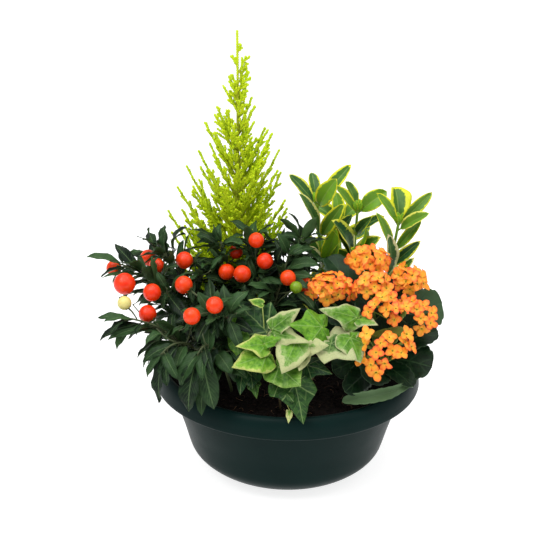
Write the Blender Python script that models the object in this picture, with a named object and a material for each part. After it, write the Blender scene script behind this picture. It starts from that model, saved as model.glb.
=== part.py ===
"""Mixed plant bowl: a low plastic planter, its soil, and the five plants that grow in it.

Metres, +Z up. The origin is the centre of the bowl's underside, and -Y is the front.
Every shoot, spray, berry and flower head is a solid of its own. Leaves are thin closed
blades, joined to the shoot that carries them.
"""
import math

import bmesh
import bpy
from mathutils import Vector
from mathutils.bvhtree import BVHTree
from mathutils.geometry import interpolate_bezier

# Driving dimensions
SEAT_GAP = 0.0003            # between a piece and what it rests on
BOWL_SEGMENTS = 32
WALL = 0.003
INSIDE_RISE = 0.0012         # how much higher the wall's inside bends than its outside
WALL_TOP_HEIGHT = 0.095      # where the wall ends and the rolled lip starts
WALL_TOP_RADIUS = 0.1212
LIP_RADIUS = 0.136           # outer edge of the rolled lip
LIP_INNER_RADIUS = 0.1180
CREST_RADIUS = 0.127         # top of the roll
CREST_HEIGHT = 0.115
LIP_CORNER = (0.1245, 0.113)  # where the roll meets the inside of the lip
FOOT_RADIUS = 0.0655
FOOT_RING_RADIUS = 0.030     # divides the underside, which keeps its facets even
CHANNEL_DEPTH = 0.0025       # shallow drain channels across the foot
CHANNEL_INNER_RADIUS = 0.045
CHANNEL_COUNT = 8
ROLL_STEPS = 4
SOIL_EDGE_RADIUS = 0.1222
SOIL_EDGE_HEIGHT = 0.108
SOIL_RINGS = (0.090, 0.050)  # radii at which the mound bends
SOIL_MOUND = 0.004           # how much higher the soil is in the middle
SOIL_GAP = 0.00045           # between its side and the wall
LEAF_THICKNESS = 0.0016
LEAF_ARCH = 0.09             # how high a leaf bows, of its length
LEAF_OUTWARD = 0.6           # how far its upper side turns away from the middle
EUONYMUS_LEAN = 1.2          # how far it turns to the front
KALANCHOE_LEAN = 0.5
CLEARANCE = 0.0005           # kept between a blade and its neighbours
STEM_COLLAR = 0.003          # upright first stretch of every stem
STEM_BEND = 0.66             # how far its curve is drawn towards the elbow
STEM_TAPER = 0.55            # its radius at the tip, of that at the root
END_ALLOWANCE = 0.4          # of a stalk's radius: its flat end stops short of a round skin
GOLDEN_ANGLE = math.radians(137.5)
SHARP_ANGLE = math.radians(35.0)
UP = Vector((0.0, 0.0, 1.0))
FRONT = Vector((0.0, -1.0, 0.0))

# Radius of the outer wall at each height, from the foot up to the lip
WALL_PROFILE = [
    (FOOT_RADIUS, 0.000), (0.0765, 0.005), (0.0887, 0.012), (0.0990, 0.022), (0.1027, 0.034),
    (0.1065, 0.048), (0.1110, 0.062), (0.1155, 0.076), (0.1200, 0.090),
]

BOWL_GREEN = (0.011, 0.022, 0.020)
SOIL_BROWN = (0.012, 0.009, 0.008)
CYPRESS_LIME = (0.38, 0.52, 0.02)
CYPRESS_BARK = (0.20, 0.09, 0.03)
CHERRY_GREEN = (0.012, 0.040, 0.018)
BERRY_RED = (0.75, 0.035, 0.004)
BERRY_PALE = (0.70, 0.58, 0.18)
BERRY_GREEN = (0.12, 0.22, 0.003)
IVY_GREEN = (0.10, 0.24, 0.03)
EUONYMUS_GREEN = (0.12, 0.25, 0.01)
KALANCHOE_GREEN = (0.010, 0.035, 0.012)
FLOWER_ORANGE = (0.80, 0.26, 0.03)

# Winter cherry: each shoot's root, elbow and tip, and its leaves as
# (how far up the shoot, leaf tip, leaf width)
CHERRY_SHOOTS = {
    "far_left": {
        "path": [(-0.078, -0.034), (-0.105, -0.038, 0.215), (-0.165, -0.030, 0.229)],
        "leaves": [
            (0.97, (-0.199, -0.030, 0.236), 0.010), (0.72, (-0.174, -0.045, 0.239), 0.012),
            (0.90, (-0.163, -0.018, 0.240), 0.008), (0.95, (-0.184, -0.040, 0.219), 0.008),
            (0.60, (-0.167, -0.040, 0.197), 0.009), (0.45, (-0.132, -0.050, 0.246), 0.012),
        ],
    },
    "upper_left": {
        "path": [(-0.072, -0.014), (-0.095, -0.006, 0.215), (-0.136, -0.008, 0.240)],
        "leaves": [
            (0.90, (-0.151, -0.010, 0.251), 0.007), (0.85, (-0.150, -0.016, 0.231), 0.007),
            (0.97, (-0.139, -0.006, 0.259), 0.010), (0.85, (-0.124, 0.000, 0.253), 0.010),
            (0.65, (-0.107, 0.012, 0.240), 0.008), (0.60, (-0.100, 0.004, 0.251), 0.007),
        ],
    },
    "low_left": {
        "path": [(-0.082, -0.050), (-0.098, -0.088, 0.190), (-0.155, -0.092, 0.200)],
        "leaves": [
            (0.97, (-0.181, -0.090, 0.198), 0.008), (0.85, (-0.180, -0.095, 0.176), 0.011),
            (0.75, (-0.170, -0.108, 0.184), 0.010), (0.60, (-0.142, -0.112, 0.168), 0.009),
        ],
    },
    "droop_left": {
        "path": [(-0.070, -0.060), (-0.092, -0.105, 0.205), (-0.118, -0.124, 0.178)],
        "leaves": [
            (0.97, (-0.132, -0.126, 0.154), 0.009), (0.75, (-0.136, -0.118, 0.166), 0.009),
            (0.90, (-0.112, -0.134, 0.150), 0.012), (0.97, (-0.120, -0.126, 0.128), 0.012),
        ],
    },
    "droop_front": {
        "path": [(-0.055, -0.066), (-0.070, -0.112, 0.205), (-0.084, -0.128, 0.180)],
        "leaves": [
            (0.97, (-0.092, -0.140, 0.126), 0.018), (0.90, (-0.068, -0.138, 0.128), 0.018),
            (0.80, (-0.100, -0.136, 0.150), 0.014), (0.58, (-0.074, -0.130, 0.170), 0.015),
        ],
    },
    "front": {
        "path": [(-0.048, -0.048), (-0.058, -0.075, 0.210), (-0.074, -0.100, 0.208)],
        "leaves": [
            (0.78, (-0.108, -0.102, 0.200), 0.010), (0.60, (-0.048, -0.102, 0.184), 0.014),
            (0.93, (-0.086, -0.092, 0.228), 0.008),
        ],
    },
    "upper_mid": {
        "path": [(-0.060, -0.002), (-0.068, 0.008, 0.205), (-0.068, 0.000, 0.243)],
        "leaves": [
            (0.97, (-0.100, 0.004, 0.254), 0.009), (0.90, (-0.092, -0.010, 0.246), 0.009),
            (0.97, (-0.046, -0.004, 0.236), 0.012), (0.70, (-0.086, -0.028, 0.226), 0.010),
        ],
    },
    "upper_right": {
        "path": [(-0.040, -0.012), (-0.032, -0.004, 0.205), (-0.034, 0.004, 0.246)],
        "leaves": [
            (0.97, (-0.060, 0.010, 0.262), 0.010), (0.90, (-0.002, -0.006, 0.240), 0.015),
            (0.70, (-0.052, -0.022, 0.222), 0.010), (0.95, (-0.016, 0.018, 0.256), 0.009),
        ],
    },
    "right": {
        "path": [(-0.030, -0.032), (-0.011, -0.032, 0.205), (0.000, -0.014, 0.238)],
        "leaves": [
            (0.60, (-0.040, -0.046, 0.216), 0.010), (0.70, (0.022, -0.036, 0.222), 0.010),
            (0.93, (-0.014, -0.022, 0.260), 0.010), (0.50, (0.008, -0.058, 0.200), 0.008),
        ],
    },
    "right_back": {
        "path": [(-0.020, -0.006), (0.002, 0.004, 0.200), (0.012, 0.006, 0.246)],
        "leaves": [
            (0.97, (-0.010, 0.004, 0.267), 0.010), (0.97, (0.026, 0.004, 0.269), 0.010),
            (0.85, (0.038, 0.000, 0.248), 0.010), (0.70, (-0.012, 0.022, 0.240), 0.010),
        ],
    },
    "back_left": {
        "path": [(-0.088, 0.006), (-0.125, 0.020, 0.190), (-0.142, 0.034, 0.212)],
        "leaves": [
            (0.97, (-0.172, 0.042, 0.208), 0.011), (0.90, (-0.138, 0.060, 0.220), 0.011),
            (0.80, (-0.156, 0.012, 0.196), 0.010), (0.65, (-0.128, 0.048, 0.180), 0.012),
        ],
    },
}
# How far up each shoot its unplaced leaves grow, and how many there are
CHERRY_FILL_START = 0.35
CHERRY_FILL_COUNT = 8
CHERRY_FILL_LENGTH = 0.042
CHERRY_FILL_WIDTH = 0.012
CHERRY_FILL_RISE = 0.35      # for each metre outwards
CHERRY_STEM_RADIUS = 0.0020

# Berries: centre, radius, the shoot that carries it, how far up that shoot, and its colour
BERRIES = [
    ((-0.158, -0.064, 0.223), 0.0110, "far_left", 0.80, BERRY_RED),
    ((-0.174, -0.016, 0.219), 0.0080, "far_left", 0.92, BERRY_RED),
    ((-0.131, -0.070, 0.217), 0.0090, "far_left", 0.60, BERRY_RED),
    ((-0.131, -0.022, 0.225), 0.0080, "upper_left", 0.85, BERRY_RED),
    ((-0.156, -0.085, 0.212), 0.0070, "low_left", 0.90, BERRY_PALE),
    ((-0.135, -0.078, 0.198), 0.0090, "low_left", 0.70, BERRY_RED),
    ((-0.101, -0.064, 0.223), 0.0090, "front", 0.70, BERRY_RED),
    ((-0.104, -0.014, 0.228), 0.0090, "upper_left", 0.60, BERRY_RED),
    ((-0.090, -0.112, 0.212), 0.0085, "front", 0.90, BERRY_RED),
    ((-0.069, -0.106, 0.221), 0.0085, "front", 0.85, BERRY_RED),
    ((-0.062, -0.018, 0.218), 0.0085, "upper_mid", 0.75, BERRY_RED),
    ((-0.046, -0.032, 0.222), 0.0090, "upper_right", 0.70, BERRY_RED),
    ((-0.054, 0.008, 0.229), 0.0075, "upper_mid", 0.80, BERRY_RED),
    ((-0.033, -0.012, 0.250), 0.0080, "upper_right", 0.92, BERRY_RED),
    ((-0.024, -0.022, 0.232), 0.0085, "upper_right", 0.80, BERRY_RED),
    ((-0.001, -0.042, 0.223), 0.0080, "right", 0.80, BERRY_RED),
    ((0.016, -0.020, 0.206), 0.0085, "right_back", 0.70, BERRY_RED),
    ((0.007, -0.058, 0.220), 0.0062, "right", 0.50, BERRY_GREEN),
    ((-0.142, 0.006, 0.222), 0.0085, "back_left", 0.92, BERRY_RED),
]
BERRY_STALK_RADIUS = 0.0011
BERRY_HEIGHT = 0.96          # of its width

# Ivy: each trail's root, elbow and tip, and its leaves as
# (how far up the trail, where the leaf stalk joins the blade, blade tip, blade width)
IVY_TRAILS = {
    "left": {
        "path": [(-0.014, -0.082), (-0.020, -0.098, 0.165), (-0.024, -0.104, 0.178)],
        "leaves": [
            (0.70, (-0.019, -0.094, 0.193), (-0.049, -0.078, 0.217), 0.046),
            (0.95, (-0.026, -0.114, 0.182), (-0.052, -0.132, 0.172), 0.028),
            (0.50, (-0.046, -0.104, 0.160), (-0.046, -0.128, 0.136), 0.030),
        ],
    },
    "middle": {
        "path": [(0.002, -0.086), (0.000, -0.100, 0.170), (0.006, -0.106, 0.184)],
        "leaves": [
            (0.85, (-0.014, -0.104, 0.200), (0.011, -0.106, 0.219), 0.018),
            (0.95, (0.004, -0.112, 0.186), (-0.006, -0.138, 0.167), 0.032),
            (0.60, (0.024, -0.108, 0.176), (0.036, -0.130, 0.158), 0.034),
        ],
    },
    "right": {
        "path": [(0.018, -0.080), (0.034, -0.088, 0.165), (0.046, -0.092, 0.190)],
        "leaves": [
            (0.80, (0.033, -0.096, 0.200), (0.002, -0.114, 0.209), 0.034),
            (0.95, (0.064, -0.090, 0.206), (0.030, -0.096, 0.221), 0.026),
            (0.90, (0.060, -0.104, 0.191), (0.070, -0.120, 0.172), 0.028),
            (0.60, (0.032, -0.106, 0.188), (0.056, -0.126, 0.174), 0.038),
        ],
    },
    "low": {
        "path": [(-0.006, -0.100), (-0.010, -0.112, 0.150), (-0.012, -0.118, 0.156)],
        "leaves": [
            (0.85, (-0.016, -0.118, 0.163), (0.014, -0.138, 0.154), 0.027),
            (0.60, (-0.012, -0.124, 0.143), (0.014, -0.142, 0.114), 0.036),
        ],
    },
}
IVY_STEM_RADIUS = 0.0014
IVY_STALK_RADIUS = 0.0009
# How far an ivy leaf's edge lies from its stalk, by the angle in degrees from its tip
IVY_LOBES = [(0.0, 1.0), (27.0, 0.62), (58.0, 0.86), (92.0, 0.55), (132.0, 0.62), (180.0, 0.14)]
IVY_SPREAD = 1.15            # how far the side lobes reach past half the width
IVY_UPWARD = 0.9             # how far the leaf looks up, where 1 is as far as outwards

# Euonymus: shoots as for the winter cherry
EUONYMUS_SHOOTS = {
    "left": {
        "path": [(0.042, 0.056), (0.034, 0.060, 0.200), (0.027, 0.052, 0.268)],
        "leaves": [
            (0.97, (-0.002, 0.052, 0.297), 0.013), (0.97, (0.021, 0.072, 0.293), 0.013),
            (0.97, (0.061, 0.060, 0.306), 0.013), (0.92, (0.046, 0.030, 0.301), 0.017),
            (0.72, (0.008, 0.036, 0.283), 0.014), (0.72, (0.054, 0.032, 0.274), 0.016),
            (0.60, (0.064, 0.044, 0.258), 0.016),
        ],
    },
    "middle": {
        "path": [(0.066, 0.058), (0.066, 0.058, 0.200), (0.069, 0.052, 0.260)],
        "leaves": [
            (0.97, (0.045, 0.040, 0.290), 0.012), (0.97, (0.056, 0.066, 0.286), 0.012),
            (0.97, (0.098, 0.052, 0.281), 0.016), (0.78, (0.083, 0.030, 0.261), 0.011),
            (0.60, (0.042, 0.026, 0.258), 0.018), (0.60, (0.092, 0.020, 0.243), 0.016),
        ],
    },
    "right": {
        "path": [(0.088, 0.046), (0.104, 0.040, 0.200), (0.110, 0.032, 0.255)],
        "leaves": [
            (0.97, (0.086, 0.026, 0.288), 0.013), (0.97, (0.106, 0.056, 0.284), 0.022),
            (0.97, (0.142, 0.032, 0.288), 0.012), (0.90, (0.139, 0.016, 0.271), 0.012),
            (0.72, (0.133, 0.032, 0.258), 0.011), (0.50, (0.098, 0.006, 0.252), 0.014),
            (0.60, (0.132, 0.020, 0.240), 0.013),
        ],
    },
    "back": {
        "path": [(0.058, 0.084), (0.056, 0.100, 0.190), (0.052, 0.110, 0.226)],
        "leaves": [
            (0.97, (0.024, 0.120, 0.240), 0.015), (0.97, (0.078, 0.126, 0.244), 0.015),
            (0.80, (0.046, 0.138, 0.218), 0.017), (0.75, (0.086, 0.106, 0.222), 0.015),
            (0.60, (0.020, 0.104, 0.204), 0.016),
        ],
    },
}
EUONYMUS_STEM_RADIUS = 0.0022

# Kalanchoe: thick stem, broad leaves as (height up the stem, leaf tip, leaf width),
# and flower heads as (height of the stalk's foot, head centre, head radii)
KALANCHOE_STEM = [(0.082, -0.034), (0.086, -0.034, 0.140), (0.088, -0.034, 0.172)]
KALANCHOE_STEM_RADIUS = 0.0035
KALANCHOE_LEAVES = [
    (0.90, (0.154, -0.012, 0.186), 0.040), (0.55, (0.149, -0.036, 0.166), 0.026),
    (0.45, (0.142, -0.064, 0.140), 0.044), (0.30, (0.122, -0.092, 0.132), 0.022),
    (0.25, (0.056, -0.108, 0.134), 0.020), (0.97, (0.098, -0.080, 0.178), 0.040),
    (0.50, (0.044, -0.080, 0.142), 0.028), (0.75, (0.030, -0.040, 0.196), 0.030),
    (0.85, (0.038, 0.006, 0.226), 0.032), (0.60, (0.138, 0.008, 0.150), 0.036),
    (0.55, (0.106, 0.012, 0.142), 0.032),
]
FLOWER_HEADS = [
    (0.97, (0.079, -0.024, 0.234), (0.021, 0.014, 0.012)),
    (0.92, (0.040, -0.044, 0.212), (0.022, 0.013, 0.014)),
    (0.97, (0.080, -0.058, 0.220), (0.017, 0.012, 0.013)),
    (0.95, (0.118, -0.030, 0.216), (0.017, 0.014, 0.014)),
    (0.90, (0.101, -0.078, 0.202), (0.019, 0.011, 0.010)),
    (0.85, (0.130, -0.055, 0.187), (0.015, 0.012, 0.010)),
    (0.75, (0.092, -0.104, 0.174), (0.024, 0.011, 0.012)),
]
FLOWER_STALK_RADIUS = 0.0015
STALK_INWARD = 0.35          # where it turns upright: this far back from the head to the stem
STALK_BELOW = 0.6            # and this far down from the head to the stalk's foot

# Cypress: a leader with short sprays on top, and boughs all round it below
CYPRESS_ROOT = (-0.052, 0.056)
CYPRESS_TIP = (-0.055, 0.050, 0.447)
CYPRESS_STEM_RADIUS = 0.0045
CYPRESS_TIP_RADIUS = 0.0016
CYPRESS_BOUGHS = 9
BOUGH_LOWEST = 0.125
BOUGH_HIGHEST = 0.275
BOUGH_REACH = 0.074          # how far the lowest boughs spread
BOUGH_STEEPNESS = 1.25       # rise for each metre of spread
BOUGH_RADIUS = 0.010
SIDE_BOUGH_RADIUS = 0.0085
BOUGH_FOOT_SHARE = 0.14      # a bough's thickness at its foot, of its fullest
BOUGH_FOOT_ALLOWANCE = 0.112  # of its radius: its slanted foot stops short of the leader
BOUGH_START_ANGLE = 0.5
FRONT_BOUGH_CUT = 0.35       # how much shorter a bough is that grows to the front
TOP_BOUGH_CUT = 0.45         # how much shorter the highest one is
SIDE_BOUGH_START = 0.28      # how far up a bough its two side boughs leave it
SIDE_BOUGH_LENGTH = 0.58     # of the bough's reach
SIDE_BOUGH_TURN = 0.55       # how far they spread sideways for each metre outwards
SIDE_BOUGH_RISE = 1.6
LEADER_SPRAYS = 18
LEADER_LOWEST = 0.275
LEADER_HIGHEST = 0.425
LEADER_SPRAY_REACH = 0.040   # how far the lowest of its sprays spread
LEADER_SPRAY_CUT = 0.82      # how much shorter the highest one is
LEADER_SPRAY_RADIUS = 0.0055
LEADER_SPRAY_THINNING = 0.45  # how much thinner the highest one is

# How a blade's width runs from its base to its tip, as (way along, share of the width)
LANCE_OUTLINE = [(0.0, 0.16), (0.35, 0.95), (0.68, 0.80)]
OVAL_OUTLINE = [(0.0, 0.14), (0.30, 0.55), (0.60, 1.00), (0.86, 0.78)]

grown = {}                   # node name -> solids, each with its search tree


def soil_height(x, y):
    """Height of the mounded soil surface at a place."""
    share = min(1.0, math.hypot(x, y) / CREST_RADIUS)
    return SOIL_EDGE_HEIGHT + SOIL_MOUND * (1.0 - share ** 2)


def matte(name, colour, roughness=0.5):
    """A plain Principled material."""
    material = bpy.data.materials.new(name)
    material.use_nodes = True
    shader = material.node_tree.nodes["Principled BSDF"]
    shader.inputs["Base Color"].default_value = (*colour, 1.0)
    shader.inputs["Roughness"].default_value = roughness
    shader.inputs["Metallic"].default_value = 0.0
    return material


def new_object(name, corners, faces, colour, roughness=0.5):
    """Put a closed mesh in the scene with its own material."""
    mesh = bpy.data.meshes.new(name)
    mesh.from_pydata([tuple(corner) for corner in corners], [], faces)
    tidy = bmesh.new()
    tidy.from_mesh(mesh)
    bmesh.ops.recalc_face_normals(tidy, faces=tidy.faces)
    tidy.to_mesh(mesh)
    tidy.free()
    mesh.materials.append(matte(name, colour, roughness))
    mesh.shade_smooth()
    mesh.set_sharp_from_angle(angle=SHARP_ANGLE)
    thing = bpy.data.objects.new(name, mesh)
    bpy.context.collection.objects.link(thing)
    return thing


# Shapes


def loft(rings):
    """Skin a closed solid over rings of equal size. A ring of one point is a tip."""
    corners = []
    faces = []
    starts = []
    for ring in rings:
        starts.append(len(corners))
        corners.extend(ring)
    for index in range(len(rings) - 1):
        low, high = rings[index], rings[index + 1]
        first, second = starts[index], starts[index + 1]
        count = max(len(low), len(high))
        for step in range(count):
            after = (step + 1) % count
            if len(high) == 1:
                faces.append((first + step, first + after, second))
            elif len(low) == 1:
                faces.append((first, second + after, second + step))
            else:
                faces.append((first + step, first + after, second + after, second + step))
    if len(rings[0]) > 1:
        faces.append(tuple(reversed(range(len(rings[0])))))
    if len(rings[-1]) > 1:
        faces.append(tuple(starts[-1] + step for step in range(len(rings[-1]))))
    return corners, faces


def turned(profile, segments):
    """Turn a closed outline of (radius, height) points round the Z axis."""
    corners = []
    faces = []
    for step in range(segments):
        angle = math.tau * step / segments
        for radius, height in profile:
            corners.append(Vector((radius * math.cos(angle), radius * math.sin(angle), height)))
    count = len(profile)
    for step in range(segments):
        here, there = step * count, ((step + 1) % segments) * count
        for point in range(count - 1):
            faces.append((here + point, there + point, there + point + 1, here + point + 1))
    return corners, faces


def turned_with_poles(profile, segments):
    """Turn an outline that starts and ends on the Z axis."""
    (_, first_height), (_, last_height) = profile[0], profile[-1]
    corners, faces = turned(profile[1:-1], segments)
    count = len(profile) - 2
    bottom, top = len(corners), len(corners) + 1
    corners += [Vector((0.0, 0.0, first_height)), Vector((0.0, 0.0, last_height))]
    for step in range(segments):
        here, there = step * count, ((step + 1) % segments) * count
        faces.append((bottom, there, here))
        faces.append((top, here + count - 1, there + count - 1))
    return corners, faces


def frame_across(direction):
    """Two unit directions square to a given one."""
    guide = UP if abs(direction.z) < 0.9 else Vector((0.0, 1.0, 0.0))
    side = direction.cross(guide).normalized()
    return side, side.cross(direction).normalized()


def tube(points, start_radius, end_radius, sides=5):
    """A tapering round stem along a line of points. Its rings don't twist on the way."""
    rings = []
    last = len(points) - 1
    side = frame_across((points[1] - points[0]).normalized())[0]
    for index, point in enumerate(points):
        ahead = (points[min(index + 1, last)] - points[max(index - 1, 0)]).normalized()
        side = (side - ahead * side.dot(ahead)).normalized()
        up = side.cross(ahead)
        radius = start_radius + (end_radius - start_radius) * index / last
        ring = []
        for step in range(sides):
            angle = math.tau * step / sides
            ring.append(point + side * (radius * math.cos(angle)) + up * (radius * math.sin(angle)))
        rings.append(ring)
    return loft(rings)


def spindle(start, end, radius, sides=5):
    """A spray's outer shape: pointed at the top, fullest below the middle."""
    along = end - start
    side, up = frame_across(along.normalized())
    rings = []
    for way, share in ((0.0, BOUGH_FOOT_SHARE), (0.35, 1.0), (0.70, 0.72)):
        centre = start + along * way
        ring = []
        for step in range(sides):
            angle = math.tau * step / sides
            reach = radius * share
            ring.append(centre + side * (reach * math.cos(angle)) + up * (reach * math.sin(angle)))
        rings.append(ring)
    rings.append([end])
    return loft(rings)


def blade(base, tip, width, outline, lean=0.0, thickness=LEAF_THICKNESS):
    """A leaf: a thin closed lens that rises and droops along its length.

    Its upper side looks up, or away from the middle of the bowl if the leaf hangs. A leaf
    with a lean also turns towards the front.
    """
    along = tip - base
    outward = Vector((base.x + tip.x, base.y + tip.y, 0.0))
    facing = UP + outward.normalized() * LEAF_OUTWARD + FRONT * lean
    side = along.cross(facing).normalized()
    normal = side.cross(along).normalized()
    rings = []
    for way, share in outline:
        lift = 4.0 * way * (1.0 - way) * LEAF_ARCH * along.length
        middle = base + along * way + normal * lift
        half = side * (width * share / 2.0)
        rings.append([middle + half, middle + normal * thickness, middle - half])
    rings.append([tip])
    return loft(rings)


def lobed_blade(joint, tip, width):
    """An ivy leaf: five pointed lobes round the place where its stalk joins."""
    along = tip - joint
    length = along.length
    outward = Vector((joint.x + tip.x, joint.y + tip.y, 0.0)).normalized()
    facing = outward + UP * IVY_UPWARD
    side = along.cross(facing).normalized()
    normal = side.cross(along).normalized()
    ahead = along.normalized()
    half_width = width / 2.0
    right = []
    for degrees, share in IVY_LOBES:
        angle = math.radians(degrees)
        forward = math.cos(angle) * share
        across = math.sin(angle) * share
        reach = length if forward > 0.0 else half_width
        right.append((forward * reach, across * half_width * IVY_SPREAD))
    outline = right + [(forward, -across) for forward, across in reversed(right[1:-1])]
    corners = [joint + ahead * forward + side * across for forward, across in outline]
    count = len(corners)
    corners += [joint + normal * LEAF_THICKNESS / 2.0, joint - normal * LEAF_THICKNESS / 2.0]
    faces = []
    for step in range(count):
        after = (step + 1) % count
        faces.append((step, after, count))
        faces.append((after, step, count + 1))
    return corners, faces


def ball(centre, radii, rings=5, sides=8):
    """A round or squashed ball."""
    layers = [[centre - UP * radii[2]]]
    for ring in range(1, rings):
        polar = math.pi * ring / rings
        layer = []
        for step in range(sides):
            angle = math.tau * step / sides
            layer.append(centre + Vector((
                radii[0] * math.sin(polar) * math.cos(angle),
                radii[1] * math.sin(polar) * math.sin(angle),
                -radii[2] * math.cos(polar),
            )))
        layers.append(layer)
    layers.append([centre + UP * radii[2]])
    return loft(layers)


# Growing the plants


def search_tree(shape):
    corners, faces = shape
    return BVHTree.FromPolygons(corners, faces)


def near(shape, other):
    """Whether two solids' boxes come within the clearance of each other."""
    for axis in range(3):
        low = min(corner[axis] for corner in shape[0]) - CLEARANCE
        high = max(corner[axis] for corner in shape[0]) + CLEARANCE
        if high < min(corner[axis] for corner in other[0]):
            return False
        if low > max(corner[axis] for corner in other[0]):
            return False
    return True


def fits(node, padded):
    """Whether a padded solid runs into no other node."""
    tree = search_tree(padded)
    for other_node, solids in grown.items():
        if other_node == node:
            continue
        for shape, other_tree in solids:
            if near(padded, shape) and tree.overlap(other_tree):
                return False
    return True


def grow(node, shape):
    """Add a solid to a node."""
    grown.setdefault(node, []).append((shape, search_tree(shape)))


def path_of(points):
    """A smooth stem line from a root on the soil, by way of an elbow, to a tip."""
    (root_x, root_y), elbow, tip = points
    root = Vector((root_x, root_y, soil_height(root_x, root_y) + SEAT_GAP))
    collar = root + UP * STEM_COLLAR
    elbow, tip = Vector(elbow), Vector(tip)
    first = collar.lerp(elbow, STEM_BEND)
    second = tip.lerp(elbow, STEM_BEND)
    return [root] + interpolate_bezier(collar, first, second, tip, 8)


def point_on(line, share):
    """The point a given share of the way along a line of points."""
    place = share * (len(line) - 1)
    index = min(int(place), len(line) - 2)
    return line[index].lerp(line[index + 1], place - index)


def grow_blade(node, base, tip, width, outline, lean=0.0):
    """Add a leaf where it has room. A leaf that would run into a neighbour isn't grown."""
    padded = blade(base, tip, width + 2 * CLEARANCE, outline, lean, LEAF_THICKNESS + 2 * CLEARANCE)
    if fits(node, padded):
        grow(node, blade(base, tip, width, outline, lean))


def leafy_stems(prefix, shoots, radius):
    """Stems first, so that leaves keep clear of all of them."""
    lines = {}
    for name, shoot in shoots.items():
        lines[name] = path_of(shoot["path"])
        grow(f"{prefix}_{name}", tube(lines[name], radius, radius * STEM_TAPER))
    return lines


def placed_leaves(prefix, shoots, lines, outline, lean=0.0):
    """The leaves whose tips are given."""
    for name, shoot in shoots.items():
        for share, tip, width in shoot["leaves"]:
            base = point_on(lines[name], share)
            grow_blade(f"{prefix}_{name}", base, Vector(tip), width, outline, lean)


def filling_leaves(prefix, shoots, lines):
    """Leaves in a spiral up each shoot, between the placed ones."""
    for turn, name in enumerate(shoots):
        line = lines[name]
        for index in range(CHERRY_FILL_COUNT):
            share = CHERRY_FILL_START + (1.0 - CHERRY_FILL_START) * index / CHERRY_FILL_COUNT
            base = point_on(line, share)
            angle = GOLDEN_ANGLE * index + turn
            way = Vector((math.cos(angle), math.sin(angle), CHERRY_FILL_RISE)).normalized()
            tip = base + way * CHERRY_FILL_LENGTH
            grow_blade(f"{prefix}_{name}", base, tip, CHERRY_FILL_WIDTH, LANCE_OUTLINE)


def cherry():
    """The winter cherry's leafy shoots, berry stalks and berries."""
    lines = leafy_stems("cherry", CHERRY_SHOOTS, CHERRY_STEM_RADIUS)
    for number, (centre, radius, shoot, share, _) in enumerate(BERRIES, 1):
        centre = Vector(centre)
        foot = point_on(lines[shoot], share)
        away = (centre - foot).normalized()
        berry = ball(centre, (radius, radius, radius * BERRY_HEIGHT))
        skin = search_tree(berry).ray_cast(foot, away)[0]
        end = skin - away * (SEAT_GAP + BERRY_STALK_RADIUS * END_ALLOWANCE)
        grow(f"cherry_{shoot}", tube([foot, end], BERRY_STALK_RADIUS, BERRY_STALK_RADIUS, 4))
        grow(f"cherry_berry_{number:02d}", berry)
    return lines


def ivy_stems():
    lines = leafy_stems("ivy", IVY_TRAILS, IVY_STEM_RADIUS)
    for name, trail in IVY_TRAILS.items():
        for share, joint, _, _ in trail["leaves"]:
            stalk = [point_on(lines[name], share), Vector(joint)]
            grow(f"ivy_{name}", tube(stalk, IVY_STALK_RADIUS, IVY_STALK_RADIUS, 4))


def ivy_blades():
    for name, trail in IVY_TRAILS.items():
        for _, joint, tip, width in trail["leaves"]:
            joint, tip = Vector(joint), Vector(tip)
            if fits(f"ivy_{name}", lobed_blade(joint, tip, width + CLEARANCE)):
                grow(f"ivy_{name}", lobed_blade(joint, tip, width))


def kalanchoe():
    """The stem, the flower stalks with a head on each, and then the broad leaves."""
    line = path_of(KALANCHOE_STEM)
    grow("kalanchoe_plant", tube(line, KALANCHOE_STEM_RADIUS, KALANCHOE_STEM_RADIUS * 0.7, 6))
    for number, (share, centre, radii) in enumerate(FLOWER_HEADS, 1):
        foot, centre = point_on(line, share), Vector(centre)
        head = ball(centre, radii, 5, 9)
        outward = Vector((centre.x - foot.x, centre.y - foot.y, 0.0))
        start = centre - outward * STALK_INWARD - UP * (STALK_BELOW * (centre.z - foot.z))
        away = (centre - start).normalized()
        skin = search_tree(head).ray_cast(start, away)[0]
        end = skin - away * (SEAT_GAP + FLOWER_STALK_RADIUS * END_ALLOWANCE)
        stalk = interpolate_bezier(foot, foot.lerp(start, 0.7), start, end, 6)
        grow("kalanchoe_plant", tube(stalk, FLOWER_STALK_RADIUS, FLOWER_STALK_RADIUS, 5))
        grow(f"kalanchoe_head_{number}", head)
    for share, tip, width in KALANCHOE_LEAVES:
        grow_blade("kalanchoe_plant", point_on(line, share), Vector(tip), width, OVAL_OUTLINE,
                   KALANCHOE_LEAN)


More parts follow.
